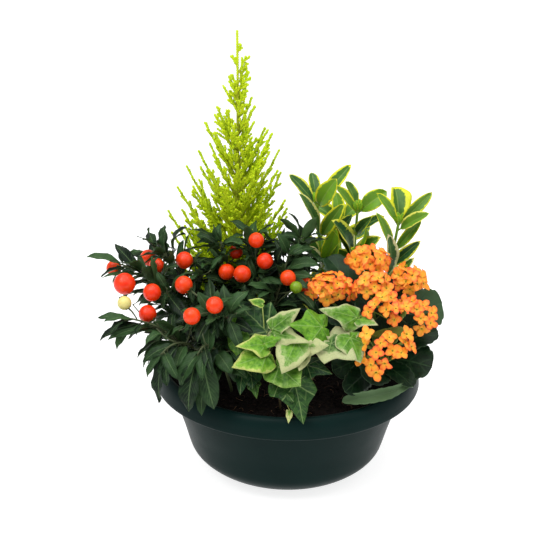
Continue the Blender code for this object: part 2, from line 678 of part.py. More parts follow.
def cypress():
    """The leader, its short sprays and the boughs that spread round it."""
    root_x, root_y = CYPRESS_ROOT
    root = Vector((root_x, root_y, soil_height(root_x, root_y) + SEAT_GAP))
    tip = Vector(CYPRESS_TIP)
    line = [root.lerp(tip, step / 8) for step in range(9)]
    grow("cypress_leader", tube(line, CYPRESS_STEM_RADIUS, CYPRESS_TIP_RADIUS, 8))
    for index in range(LEADER_SPRAYS):
        share = index / (LEADER_SPRAYS - 1)
        height = LEADER_LOWEST + (LEADER_HIGHEST - LEADER_LOWEST) * share
        foot = root.lerp(tip, (height - root.z) / (tip.z - root.z))
        angle = GOLDEN_ANGLE * index
        reach = LEADER_SPRAY_REACH * (1.0 - LEADER_SPRAY_CUT * share)
        way = Vector((math.cos(angle), math.sin(angle), BOUGH_STEEPNESS))
        radius = LEADER_SPRAY_RADIUS * (1.0 - LEADER_SPRAY_THINNING * share)
        grow("cypress_leader", spindle(foot, foot + way * reach, radius))
    for index in range(CYPRESS_BOUGHS):
        share = index / (CYPRESS_BOUGHS - 1)
        height = BOUGH_LOWEST + (BOUGH_HIGHEST - BOUGH_LOWEST) * share
        height_share = (height - root.z) / (tip.z - root.z)
        axis = root.lerp(tip, height_share)
        angle = GOLDEN_ANGLE * index + BOUGH_START_ANGLE
        outward = Vector((math.cos(angle), math.sin(angle), 0.0))
        crowded = max(0.0, -outward.y) * FRONT_BOUGH_CUT
        reach = BOUGH_REACH * (1.0 - TOP_BOUGH_CUT * share) * (1.0 - crowded)
        way = outward + UP * BOUGH_STEEPNESS
        stem_radius = CYPRESS_STEM_RADIUS + (
            CYPRESS_TIP_RADIUS - CYPRESS_STEM_RADIUS) * height_share
        foot = axis + outward * (stem_radius + BOUGH_RADIUS * BOUGH_FOOT_ALLOWANCE + SEAT_GAP)
        node = f"cypress_bough_{index + 1}"
        grow(node, spindle(foot, foot + way * reach, BOUGH_RADIUS))
        across = outward.cross(UP)
        for turn in (-SIDE_BOUGH_TURN, SIDE_BOUGH_TURN):
            middle = foot + way * reach * SIDE_BOUGH_START
            branch = (outward + across * turn + UP * SIDE_BOUGH_RISE) * reach * SIDE_BOUGH_LENGTH
            if fits(node, spindle(middle, middle + branch, SIDE_BOUGH_RADIUS + CLEARANCE)):
                grow(node, spindle(middle, middle + branch, SIDE_BOUGH_RADIUS))


def inner_wall():
    """Points of the wall's inside, from the top down."""
    points = [(LIP_INNER_RADIUS, WALL_TOP_HEIGHT)]
    for radius, height in reversed(WALL_PROFILE[1:-1:2]):
        points.append((radius - WALL, height + INSIDE_RISE))
    points.append((FOOT_RADIUS - WALL, WALL))
    return points


def bowl():
    """The planter's foot with its drain channels, and the flared wall on it."""
    underside = [(0.0, 0.0), (FOOT_RING_RADIUS, 0.0), (CHANNEL_INNER_RADIUS, 0.0)]
    profile = underside + WALL_PROFILE + [(WALL_TOP_RADIUS, WALL_TOP_HEIGHT)]
    profile += inner_wall() + [(0.0, WALL)]
    corners, faces = turned_with_poles(profile, BOWL_SEGMENTS)
    per_channel = BOWL_SEGMENTS // CHANNEL_COUNT
    count = len(profile) - 2
    for step in range(per_channel // 2, BOWL_SEGMENTS, per_channel):
        foot = step * count + underside.index((CHANNEL_INNER_RADIUS, 0.0))
        corners[foot] = corners[foot] + UP * CHANNEL_DEPTH
    grow("bowl", (corners, faces))


def lip():
    """The broad rolled lip, a ring that sits on the wall."""
    under = WALL_TOP_HEIGHT + SEAT_GAP
    profile = [(LIP_INNER_RADIUS, under), (LIP_RADIUS, under)]
    for step in range(1, ROLL_STEPS + 1):
        turn = math.radians(90.0 * step / ROLL_STEPS)
        profile.append((CREST_RADIUS + (LIP_RADIUS - CREST_RADIUS) * math.cos(turn),
                        under + (CREST_HEIGHT - under) * math.sin(turn)))
    profile += [LIP_CORNER, (LIP_INNER_RADIUS, under)]
    corners, faces = turned(profile[:-1], BOWL_SEGMENTS)
    count = len(profile) - 1
    for step in range(BOWL_SEGMENTS):
        here, there = step * count, ((step + 1) % BOWL_SEGMENTS) * count
        faces.append((here + count - 1, there + count - 1, there, here))
    grow("bowl_lip", (corners, faces))


def soil():
    """Compost that fills the bowl, slightly mounded in the middle."""
    bottom = WALL + SEAT_GAP
    profile = [(0.0, bottom), (FOOT_RADIUS - WALL - 2 * SOIL_GAP, bottom)]
    profile += [(radius - SOIL_GAP, height) for radius, height in reversed(inner_wall()[:-1])]
    profile.append((SOIL_EDGE_RADIUS, SOIL_EDGE_HEIGHT))
    profile += [(radius, soil_height(radius, 0.0)) for radius in SOIL_RINGS]
    profile.append((0.0, soil_height(0.0, 0.0)))
    grow("soil", turned_with_poles(profile, BOWL_SEGMENTS))


def keep_largest_body(mesh):
    """Drop the crumbs that a union leaves where blades cross at a grazing angle."""
    tidy = bmesh.new()
    tidy.from_mesh(mesh)
    bmesh.ops.triangulate(tidy, faces=tidy.faces)
    waiting = set(tidy.faces)
    bodies = []
    while waiting:
        body = [waiting.pop()]
        for face in body:
            for edge in face.edges:
                for neighbour in edge.link_faces:
                    if len(edge.link_faces) == 2 and neighbour in waiting:
                        waiting.remove(neighbour)
                        body.append(neighbour)
        bodies.append(body)
    bodies.sort(key=len)
    for crumb in bodies[:-1]:
        bmesh.ops.delete(tidy, geom=crumb, context="FACES")
    tidy.to_mesh(mesh)
    tidy.free()


def joined(node, colour, roughness):
    """Unite a node's solids in one closed body."""
    shapes = [shape for shape, _ in grown[node]]
    main = new_object(node, *shapes[0], colour, roughness)
    if len(shapes) == 1:
        return
    others = bpy.data.collections.new(f"{node}_pieces")
    bpy.context.scene.collection.children.link(others)
    for number, shape in enumerate(shapes[1:], 1):
        piece = new_object(f"{node}_piece_{number}", *shape, colour)
        others.objects.link(piece)
    union = main.modifiers.new("union", "BOOLEAN")
    union.operation = "UNION"
    # The exact solver leaves open seams where several thin blades share one joint
    union.solver = "MANIFOLD"
    union.operand_type = "COLLECTION"
    union.collection = others
    scene_state = bpy.context.evaluated_depsgraph_get()
    result = bpy.data.meshes.new_from_object(main.evaluated_get(scene_state))
    main.modifiers.remove(union)
    for piece in list(others.objects):
        bpy.data.objects.remove(piece)
    bpy.data.collections.remove(others)
    keep_largest_body(result)
    main.data = result
    main.data.name = node


def colour_of(node):
    """Each node's colour and roughness."""
    if node.startswith("bowl"):
        return BOWL_GREEN, 0.45
    if node == "soil":
        return SOIL_BROWN, 0.95
    if node.startswith("cherry_berry"):
        return BERRIES[int(node[-2:]) - 1][4], 0.25
    if node == "cypress_leader":
        return CYPRESS_BARK, 0.7
    families = {
        "cypress": (CYPRESS_LIME, 0.6), "cherry": (CHERRY_GREEN, 0.5), "ivy": (IVY_GREEN, 0.45),
        "euonymus": (EUONYMUS_GREEN, 0.4), "kalanchoe_plant": (KALANCHOE_GREEN, 0.4),
        "kalanchoe_head": (FLOWER_ORANGE, 0.5),
    }
    for start, finish in families.items():
        if node.startswith(start):
            return finish
    raise ValueError(f"no colour for {node}")


def main():
    for thing in list(bpy.data.objects):
        bpy.data.objects.remove(thing)
    bowl()
    lip()
    soil()
    cypress()
    cherry_lines = cherry()
    ivy_stems()
    euonymus_lines = leafy_stems("euonymus", EUONYMUS_SHOOTS, EUONYMUS_STEM_RADIUS)
    kalanchoe()
    ivy_blades()
    placed_leaves("euonymus", EUONYMUS_SHOOTS, euonymus_lines, OVAL_OUTLINE, EUONYMUS_LEAN)
    placed_leaves("cherry", CHERRY_SHOOTS, cherry_lines, LANCE_OUTLINE)
    filling_leaves("cherry", CHERRY_SHOOTS, cherry_lines)
    for node in grown:
        joined(node, *colour_of(node))


main()
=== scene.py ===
"""Looks of the mixed plant bowl: planter, soil, cypress, winter cherry, ivy, euonymus, kalanchoe.

Metres, +Z up, -Y towards the front. Every plant grows along the same stem lines as its solids.
"""
import math
import random

import bpy
from mathutils import Matrix, Vector, noise
from mathutils.geometry import interpolate_bezier


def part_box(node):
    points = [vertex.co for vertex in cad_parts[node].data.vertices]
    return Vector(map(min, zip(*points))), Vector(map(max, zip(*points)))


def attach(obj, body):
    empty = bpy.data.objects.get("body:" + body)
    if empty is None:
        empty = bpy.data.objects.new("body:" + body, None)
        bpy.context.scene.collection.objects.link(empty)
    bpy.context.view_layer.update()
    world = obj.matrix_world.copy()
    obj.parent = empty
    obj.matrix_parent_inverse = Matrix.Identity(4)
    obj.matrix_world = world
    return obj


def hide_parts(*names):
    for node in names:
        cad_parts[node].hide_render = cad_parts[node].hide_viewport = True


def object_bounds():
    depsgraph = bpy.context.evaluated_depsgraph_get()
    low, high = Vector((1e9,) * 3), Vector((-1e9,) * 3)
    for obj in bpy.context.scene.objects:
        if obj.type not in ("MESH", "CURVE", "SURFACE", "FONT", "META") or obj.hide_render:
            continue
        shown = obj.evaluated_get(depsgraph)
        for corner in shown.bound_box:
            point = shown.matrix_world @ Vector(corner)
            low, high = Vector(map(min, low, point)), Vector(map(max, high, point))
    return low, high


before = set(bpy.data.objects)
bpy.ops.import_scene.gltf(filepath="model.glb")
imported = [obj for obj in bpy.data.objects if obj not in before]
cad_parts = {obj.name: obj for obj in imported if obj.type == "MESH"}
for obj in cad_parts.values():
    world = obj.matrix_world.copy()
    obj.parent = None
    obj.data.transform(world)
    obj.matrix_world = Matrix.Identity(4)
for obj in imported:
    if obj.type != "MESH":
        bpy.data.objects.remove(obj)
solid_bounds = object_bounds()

UP = Vector((0.0, 0.0, 1.0))
FRONT = Vector((0.0, -1.0, 0.0))
GOLDEN_ANGLE = math.radians(137.5)
PLAIN = (0.5, 0.0, 0.0)      # the nature of what doesn't vary

# Every stem starts below the soil, and its first stretch is upright like its solid's
ROOT_DEPTH = 0.002
SOIL_GAP = 0.0003
STEM_COLLAR = 0.003
STEM_PULL = 0.66             # how far its curve is drawn to its elbow

# Winter cherry: each shoot's root, elbow and tip, and its leaves as
# (how far up the shoot, leaf tip, leaf width)
CHERRY_SHOOTS = {
    "far_left": {
        "path": [(-0.078, -0.034), (-0.105, -0.038, 0.215), (-0.165, -0.030, 0.229)],
        "leaves": [
            (0.97, (-0.199, -0.030, 0.236), 0.011), (0.72, (-0.174, -0.045, 0.239), 0.014),
            (0.90, (-0.163, -0.018, 0.240), 0.010), (0.95, (-0.184, -0.040, 0.219), 0.008),
            (0.60, (-0.167, -0.040, 0.197), 0.009), (0.45, (-0.132, -0.050, 0.246), 0.014),
            (0.80, (-0.181, -0.052, 0.224), 0.008), (0.75, (-0.162, -0.058, 0.228), 0.009),
            (0.85, (-0.172, -0.020, 0.246), 0.011), (0.66, (-0.140, -0.062, 0.240), 0.012),
        ],
    },
    "upper_left": {
        "path": [(-0.072, -0.014), (-0.095, -0.006, 0.215), (-0.136, -0.008, 0.240)],
        "leaves": [
            (0.90, (-0.151, -0.010, 0.251), 0.007), (0.85, (-0.150, -0.016, 0.231), 0.008),
            (0.97, (-0.139, -0.006, 0.259), 0.011), (0.85, (-0.124, 0.000, 0.253), 0.012),
            (0.65, (-0.107, 0.012, 0.240), 0.009), (0.60, (-0.100, 0.004, 0.251), 0.007),
            (0.75, (-0.118, -0.030, 0.240), 0.013),
        ],
    },
    "low_left": {
        "path": [(-0.082, -0.050), (-0.098, -0.088, 0.190), (-0.155, -0.092, 0.200)],
        "leaves": [
            (0.97, (-0.181, -0.090, 0.198), 0.008), (0.85, (-0.180, -0.095, 0.176), 0.011),
            (0.75, (-0.170, -0.108, 0.184), 0.011), (0.60, (-0.142, -0.112, 0.168), 0.010),
            (0.92, (-0.174, -0.102, 0.200), 0.008), (0.65, (-0.156, -0.112, 0.189), 0.009),
            (0.45, (-0.128, -0.100, 0.200), 0.011),
        ],
    },
    "droop_left": {
        "path": [(-0.070, -0.060), (-0.092, -0.105, 0.205), (-0.118, -0.124, 0.178)],
        "leaves": [
            (0.97, (-0.132, -0.126, 0.154), 0.010), (0.75, (-0.136, -0.118, 0.166), 0.010),
            (0.90, (-0.112, -0.134, 0.150), 0.014), (0.97, (-0.120, -0.126, 0.128), 0.013),
            (0.70, (-0.126, -0.118, 0.150), 0.012), (0.60, (-0.104, -0.128, 0.166), 0.013),
        ],
    },
    "droop_front": {
        "path": [(-0.055, -0.066), (-0.070, -0.112, 0.205), (-0.084, -0.128, 0.180)],
        "leaves": [
            (0.97, (-0.092, -0.140, 0.126), 0.019), (0.90, (-0.068, -0.138, 0.128), 0.019),
            (0.80, (-0.100, -0.136, 0.150), 0.015), (0.58, (-0.074, -0.130, 0.170), 0.016),
            (0.70, (-0.080, -0.136, 0.120), 0.014), (0.50, (-0.052, -0.122, 0.158), 0.015),
        ],
    },
    "front": {
        "path": [(-0.048, -0.048), (-0.058, -0.075, 0.210), (-0.074, -0.100, 0.208)],
        "leaves": [
            (0.78, (-0.108, -0.102, 0.200), 0.011), (0.60, (-0.048, -0.102, 0.184), 0.015),
            (0.93, (-0.086, -0.092, 0.228), 0.009), (0.85, (-0.066, -0.108, 0.208), 0.012),
            (0.95, (-0.074, -0.116, 0.176), 0.015),
        ],
    },
    "upper_mid": {
        "path": [(-0.060, -0.002), (-0.068, 0.008, 0.205), (-0.068, 0.000, 0.243)],
        "leaves": [
            (0.97, (-0.100, 0.004, 0.254), 0.010), (0.90, (-0.092, -0.010, 0.246), 0.010),
            (0.97, (-0.046, -0.004, 0.236), 0.013), (0.70, (-0.086, -0.028, 0.226), 0.011),
            (0.97, (-0.076, 0.006, 0.259), 0.008),
        ],
    },
    "upper_right": {
        "path": [(-0.040, -0.012), (-0.032, -0.004, 0.205), (-0.034, 0.004, 0.246)],
        "leaves": [
            (0.97, (-0.060, 0.010, 0.262), 0.011), (0.90, (-0.002, -0.006, 0.240), 0.016),
            (0.70, (-0.052, -0.022, 0.222), 0.011), (0.95, (-0.016, 0.018, 0.256), 0.010),
            (0.92, (-0.044, -0.006, 0.262), 0.010),
        ],
    },
    "right": {
        "path": [(-0.030, -0.032), (-0.011, -0.032, 0.205), (0.000, -0.014, 0.238)],
        "leaves": [
            (0.60, (-0.040, -0.046, 0.216), 0.011), (0.75, (0.022, -0.034, 0.222), 0.011),
            (0.97, (-0.012, -0.022, 0.262), 0.010), (0.50, (0.008, -0.058, 0.200), 0.009),
            (0.55, (-0.066, -0.078, 0.206), 0.011), (0.62, (-0.030, -0.056, 0.206), 0.008),
            (0.45, (0.014, -0.034, 0.188), 0.015), (0.40, (0.004, -0.052, 0.184), 0.015),
            (0.50, (0.022, -0.044, 0.200), 0.014),
        ],
    },
    "right_back": {
        "path": [(-0.020, -0.006), (0.002, 0.004, 0.200), (0.012, 0.006, 0.246)],
        "leaves": [
            (0.97, (-0.010, 0.004, 0.267), 0.011), (0.97, (0.026, 0.004, 0.269), 0.010),
            (0.85, (0.038, 0.000, 0.248), 0.011), (0.70, (-0.012, 0.022, 0.240), 0.011),
            (0.90, (-0.008, -0.008, 0.250), 0.011), (0.45, (0.026, -0.016, 0.182), 0.016),
            (0.40, (0.036, 0.000, 0.182), 0.016), (0.50, (0.034, -0.008, 0.200), 0.015),
            (0.60, (0.038, 0.004, 0.226), 0.014), (0.55, (0.024, -0.014, 0.214), 0.013),
        ],
    },
    "back_left": {
        "path": [(-0.088, 0.006), (-0.125, 0.020, 0.190), (-0.142, 0.034, 0.212)],
        "leaves": [
            (0.97, (-0.172, 0.042, 0.208), 0.012), (0.90, (-0.138, 0.060, 0.220), 0.012),
            (0.80, (-0.156, 0.012, 0.196), 0.011), (0.65, (-0.128, 0.048, 0.180), 0.013),
        ],
    },
}
CHERRY_STEM_RADIUS = 0.0016
CHERRY_WIDENING = 1.12       # of the placed leaves
TWIGS_PER_SHOOT = 4
TWIG_FEET = (0.35, 0.725)    # how far up the shoot the lowest and the highest twig start
TWIG_SAG = 0.004
TWIG_LENGTHS = (0.022, 0.038)
TWIG_RADII = (0.0009, 0.0005)
LEAVES_PER_TWIG = 6
TWIG_LEAF = 0.040            # length of a twig's leaves, near enough
FILL_LEAVES = 30
FILL_START = 0.24            # how far up the shoot they start
FILL_LEAF = 0.046            # length of the filling leaves, near enough
LIP_REACH = 0.140            # leaf tips further out than this may hang past the lip
LEAF_CLEARANCE = 0.012       # of leaf tips above the soil, and of twigs inside the solids' box

# The shoot that carries each berry, how far up it, and the berry's colour
BERRIES = [
    ("far_left", 0.80, "red"), ("far_left", 0.92, "red"), ("far_left", 0.60, "red"),
    ("upper_left", 0.85, "red"), ("low_left", 0.90, "pale"), ("low_left", 0.70, "red"),
    ("front", 0.70, "red"), ("upper_left", 0.60, "red"), ("front", 0.90, "red"),
    ("front", 0.85, "red"), ("upper_mid", 0.75, "red"), ("upper_right", 0.70, "red"),
    ("upper_mid", 0.80, "red"), ("upper_right", 0.92, "red"), ("upper_right", 0.80, "red"),
    ("right", 0.80, "red"), ("right_back", 0.70, "red"), ("right", 0.50, "green"),
    ("back_left", 0.92, "red"),
]

# Ivy: each trail's root, elbow and tip, how yellow its margins are, and its leaves as (how far
# up the trail, where the leaf stalk joins the blade, blade tip, blade width, outline, how much
# of it is cream, how dark it is)
IVY_TRAILS = {
    "left": {
        "path": [(-0.014, -0.082), (-0.020, -0.098, 0.165), (-0.024, -0.104, 0.178)],
        "yellow": 0.9,
        "leaves": [
            (0.70, (-0.020, -0.096, 0.190), (-0.049, -0.080, 0.212), 0.046, "five", 0.0, 0.95),
            (0.60, (-0.052, -0.088, 0.202), (-0.046, -0.096, 0.192), 0.012, "heart", 0.35, 0.1),
            (0.75, (-0.025, -0.088, 0.216), (-0.038, -0.090, 0.220), 0.009, "heart", 0.50, 0.3),
            (0.90, (-0.021, -0.108, 0.182), (-0.047, -0.122, 0.188), 0.025, "three", 0.45, 0.0),
            (0.95, (-0.020, -0.112, 0.173), (-0.050, -0.132, 0.173), 0.031, "heart", 0.45, 0.0),
            (0.80, (-0.047, -0.100, 0.186), (-0.047, -0.114, 0.171), 0.022, "heart", 0.15, 0.5),
            (0.90, (-0.022, -0.110, 0.184), (-0.007, -0.116, 0.194), 0.012, "narrow", 0.0, 0.0),
            (0.50, (-0.042, -0.102, 0.155), (-0.045, -0.124, 0.138), 0.024, "three", 0.0, 1.0),
            (0.45, (-0.035, -0.100, 0.155), (-0.033, -0.122, 0.144), 0.024, "heart", 0.0, 1.0),
            (0.40, (-0.032, -0.108, 0.142), (-0.029, -0.122, 0.133), 0.014, "three", 0.1, 0.8),
        ],
    },
    "middle": {
        "path": [(0.002, -0.086), (0.000, -0.100, 0.170), (0.006, -0.106, 0.184)],
        "yellow": 0.2,
        "leaves": [
            (0.80, (-0.015, -0.104, 0.197), (0.010, -0.104, 0.219), 0.020, "narrow", 0.50, 0.4),
            (0.90, (-0.014, -0.106, 0.194), (0.021, -0.120, 0.192), 0.024, "three", 0.70, 0.4),
            (0.95, (0.008, -0.110, 0.187), (-0.005, -0.138, 0.168), 0.034, "heart", 0.58, 0.1),
            (0.97, (0.014, -0.108, 0.181), (0.036, -0.120, 0.190), 0.020, "heart", 0.85, 0.3),
            (0.97, (0.015, -0.112, 0.174), (0.011, -0.130, 0.166), 0.015, "heart", 0.80, 0.3),
            (0.60, (0.019, -0.104, 0.159), (0.041, -0.118, 0.160), 0.026, "three", 0.05, 1.0),
            (0.50, (-0.008, -0.118, 0.146), (0.007, -0.134, 0.135), 0.028, "three", 0.0, 0.85),
        ],
    },
    "right": {
        "path": [(0.018, -0.080), (0.034, -0.088, 0.165), (0.046, -0.092, 0.190)],
        "yellow": 0.1,
        "leaves": [
            (0.80, (0.032, -0.096, 0.196), (0.002, -0.112, 0.206), 0.036, "lobed", 0.0, 0.0),
            (0.95, (0.065, -0.088, 0.203), (0.030, -0.096, 0.216), 0.028, "three", 0.42, 0.2),
            (0.97, (0.068, -0.088, 0.202), (0.084, -0.100, 0.204), 0.016, "heart", 0.50, 0.1),
            (0.90, (0.059, -0.104, 0.189), (0.070, -0.122, 0.174), 0.031, "heart", 0.40, 0.2),
            (0.60, (0.041, -0.104, 0.183), (0.065, -0.124, 0.176), 0.050, "five", 0.80, 0.7),
        ],
    },
    "low": {
        "path": [(-0.006, -0.100), (-0.010, -0.112, 0.150), (-0.012, -0.118, 0.156)],
        "yellow": 0.5,
        "leaves": [
            (0.90, (-0.008, -0.114, 0.162), (0.013, -0.138, 0.154), 0.037, "heart", 0.28, 0.45),
            (0.60, (0.008, -0.120, 0.147), (0.016, -0.142, 0.116), 0.038, "three", 0.0, 0.9),
            (0.55, (0.003, -0.128, 0.123), (0.002, -0.140, 0.116), 0.007, "narrow", 0.9, 0.0),
        ],
    },
}
IVY_STEM_RADIUS = 0.0011

# Euonymus: shoots as for the winter cherry, and their leaves as (how far up the shoot, leaf
# tip, leaf width, how light its green is, how broad its margin is, how cream the margin is)
EUONYMUS_SHOOTS = {
    "left": {
        "path": [(0.042, 0.056), (0.034, 0.060, 0.200), (0.027, 0.052, 0.268)],
        "leaves": [
            (0.97, (-0.002, 0.052, 0.297), 0.012, 0.10, 0.30, 0.2),
            (0.99, (0.021, 0.072, 0.293), 0.011, 0.20, 0.20, 0.0),
            (0.97, (0.061, 0.060, 0.306), 0.013, 0.30, 0.50, 0.0),
            (0.95, (0.046, 0.030, 0.301), 0.017, 0.75, 0.30, 0.0),
            (0.72, (0.008, 0.036, 0.283), 0.012, 0.15, 0.45, 0.6),
            (0.72, (0.054, 0.032, 0.274), 0.014, 0.50, 0.45, 0.0),
            (0.60, (0.064, 0.044, 0.258), 0.016, 0.10, 0.15, 0.0),
            (0.52, (0.047, 0.030, 0.248), 0.015, 0.95, 0.10, 0.0),
            (0.48, (0.050, 0.022, 0.235), 0.010, 0.70, 0.05, 0.0),
            (0.50, (0.012, 0.020, 0.228), 0.014, 0.05, 0.55, 1.0),
            (0.55, (0.004, 0.044, 0.240), 0.013, 0.20, 0.30, 0.4),
        ],
    },
    "middle": {
        "path": [(0.066, 0.058), (0.066, 0.058, 0.200), (0.069, 0.052, 0.260)],
        "leaves": [
            (0.97, (0.045, 0.040, 0.290), 0.011, 0.55, 0.35, 0.0),
            (0.99, (0.056, 0.066, 0.286), 0.011, 0.30, 0.15, 0.0),
            (0.97, (0.098, 0.052, 0.281), 0.017, 0.65, 0.10, 0.0),
            (0.78, (0.083, 0.030, 0.261), 0.012, 0.10, 0.10, 0.0),
            (0.60, (0.042, 0.026, 0.258), 0.019, 0.00, 0.55, 0.2),
            (0.60, (0.092, 0.020, 0.243), 0.015, 0.40, 0.65, 0.2),
            (0.55, (0.044, 0.030, 0.246), 0.010, 0.35, 0.55, 0.1),
            (0.82, (0.096, 0.040, 0.258), 0.010, 0.05, 0.20, 0.0),
            (0.66, (0.076, 0.020, 0.252), 0.010, 1.00, 0.00, 0.0),
            (0.50, (0.062, 0.010, 0.234), 0.013, 0.95, 0.20, 0.0),
            (0.50, (0.084, 0.008, 0.236), 0.013, 0.95, 0.20, 0.0),
        ],
    },
    "right": {
        "path": [(0.088, 0.046), (0.104, 0.040, 0.200), (0.110, 0.032, 0.255)],
        "leaves": [
            (0.97, (0.086, 0.026, 0.288), 0.011, 0.60, 0.35, 0.0),
            (0.99, (0.106, 0.056, 0.284), 0.025, 0.25, 0.80, 0.0),
            (0.97, (0.142, 0.032, 0.288), 0.012, 0.45, 0.35, 0.0),
            (0.92, (0.139, 0.016, 0.271), 0.013, 0.55, 0.30, 0.3),
            (0.72, (0.133, 0.032, 0.258), 0.011, 0.40, 0.25, 0.0),
            (0.50, (0.098, 0.006, 0.252), 0.014, 0.10, 0.65, 1.0),
            (0.60, (0.132, 0.020, 0.240), 0.013, 0.00, 0.50, 0.1),
            (0.70, (0.086, 0.022, 0.269), 0.009, 0.50, 0.30, 0.0),
            (0.45, (0.126, 0.010, 0.226), 0.012, 0.35, 0.60, 0.7),
            (0.42, (0.118, 0.000, 0.222), 0.012, 0.60, 0.60, 0.0),
        ],
    },
    "back": {
        "path": [(0.058, 0.084), (0.056, 0.100, 0.190), (0.052, 0.110, 0.226)],
        "leaves": [
            (0.97, (0.024, 0.120, 0.240), 0.016, 0.30, 0.40, 0.0),
            (0.97, (0.078, 0.126, 0.244), 0.016, 0.50, 0.40, 0.0),
            (0.80, (0.046, 0.138, 0.218), 0.017, 0.10, 0.50, 0.2),
            (0.75, (0.086, 0.106, 0.222), 0.016, 0.20, 0.40, 0.0),
            (0.60, (0.020, 0.104, 0.204), 0.017, 0.40, 0.50, 0.3),
            (0.90, (0.048, 0.118, 0.256), 0.013, 0.60, 0.30, 0.0),
            (0.50, (0.070, 0.126, 0.190), 0.016, 0.10, 0.50, 0.1),
        ],
    },
}
EUONYMUS_STEM_RADIUS = 0.0020
EUONYMUS_LEAN = 1.2          # how far its leaves turn to the front
EUONYMUS_WIDENING = 1.22
EUONYMUS_LOWER_LEAVES = 10
EUONYMUS_LOWER_FEET = (0.16, 0.565)
EUONYMUS_PAIR_TURN = math.radians(80.0)
EUONYMUS_TUFT_LEAVES = 4

# Kalanchoe: the stem, and its leaves as (height up the stem, leaf tip, leaf width, how light
# its green is, how pale it is)
KALANCHOE_STEM = [(0.082, -0.034), (0.086, -0.034, 0.140), (0.088, -0.034, 0.172)]
KALANCHOE_STEM_RADIUS = 0.0034
KALANCHOE_LEAN = 0.9
KALANCHOE_BLADE = 0.0012     # thickness of its leaves
KALANCHOE_LEAVES = [
    (0.90, (0.154, -0.012, 0.186), 0.044, 0.80, 0.25),
    (0.55, (0.149, -0.036, 0.166), 0.028, 0.20, 0.00),
    (0.45, (0.142, -0.064, 0.140), 0.046, 0.15, 0.00),
    (0.30, (0.122, -0.092, 0.132), 0.024, 0.10, 0.00),
    (0.25, (0.056, -0.108, 0.134), 0.026, 0.05, 0.00),
    (0.97, (0.102, -0.072, 0.172), 0.042, 0.30, 0.00),
    (0.50, (0.044, -0.080, 0.142), 0.034, 0.25, 0.00),
    (0.75, (0.030, -0.040, 0.196), 0.032, 0.15, 0.00),
    (0.85, (0.038, 0.006, 0.226), 0.036, 0.45, 0.00),
    (0.60, (0.138, 0.008, 0.150), 0.038, 0.30, 0.00),
    (0.55, (0.106, 0.012, 0.142), 0.036, 0.30, 0.00),
    (0.40, (0.080, -0.100, 0.140), 0.036, 0.20, 0.00),
    (0.97, (0.068, -0.044, 0.206), 0.034, 0.20, 0.00),
    (0.90, (0.108, -0.010, 0.208), 0.034, 0.30, 0.00),
    (0.35, (0.060, 0.006, 0.150), 0.034, 0.30, 0.00),
    (0.60, (0.022, -0.010, 0.178), 0.034, 0.10, 0.00),
    (0.45, (0.026, -0.034, 0.166), 0.032, 0.10, 0.00),
    (0.80, (0.056, 0.020, 0.212), 0.032, 0.30, 0.00),
    (0.65, (0.130, -0.040, 0.178), 0.030, 0.20, 0.00),
]
# A leaf cupped like a boat under the flowers: its base, tip and width
CUPPED_LEAF = [(0.121, -0.066, 0.181), (0.077, -0.084, 0.184), 0.056]
# A leaf that hangs at the front and shows its pale underside: its base, tip and width
PALE_LEAF = [(0.120, -0.080, 0.131), (0.053, -0.102, 0.121), 0.017]
# How far up the stem each flower head's stalk starts
HEAD_STALKS = [0.97, 0.92, 0.97, 0.95, 0.90, 0.85, 0.75]
FLOWERS_PER_SQUARE_METRE = 6800.0
FLOWER_SIZES = (0.0148, 0.0178)
# Single flowers of the three looser heads
LOOSE_FLOWERS = {
    5: [(0.082, -0.086, 0.216), (0.093, -0.086, 0.211), (0.102, -0.086, 0.212),
        (0.101, -0.086, 0.200), (0.089, -0.080, 0.221), (0.112, -0.086, 0.214),
        (0.076, -0.086, 0.208), (0.098, -0.070, 0.216), (0.108, -0.074, 0.206)],
    6: [(0.112, -0.063, 0.208), (0.124, -0.063, 0.201), (0.128, -0.066, 0.193),
        (0.138, -0.063, 0.187), (0.130, -0.063, 0.181), (0.139, -0.055, 0.194),
        (0.119, -0.056, 0.206), (0.131, -0.050, 0.199)],
    7: [(0.074, -0.112, 0.197), (0.087, -0.112, 0.188), (0.083, -0.114, 0.179),
        (0.079, -0.112, 0.165), (0.092, -0.112, 0.167), (0.069, -0.108, 0.170),
        (0.099, -0.108, 0.178), (0.110, -0.106, 0.186), (0.107, -0.112, 0.178),
        (0.117, -0.104, 0.181), (0.084, -0.112, 0.157), (0.112, -0.102, 0.193),
        (0.096, -0.100, 0.188), (0.072, -0.104, 0.182)],
}

CYPRESS_ROOT = (-0.052, 0.056)
CYPRESS_TIP = (-0.055, 0.050, 0.445)
CYPRESS_BEAD = 0.00142       # radius of a row of scale leaves
CYPRESS_BEAD_LENGTH = 0.0026
CYPRESS_TWIG_GAP = 0.0058    # between side twigs along a spray
CYPRESS_TWIGLET_GAP = 0.0042
CYPRESS_LINE_POINTS = 25
CYPRESS_LEVELS = (0.240, 0.300)     # tip heights at which the lower piece and the middle one end
CYPRESS_LOWEST = 0.122       # height of the lowest spray's foot
CYPRESS_STEEPNESS = 1.55     # how far a spray rises for each metre that it spreads
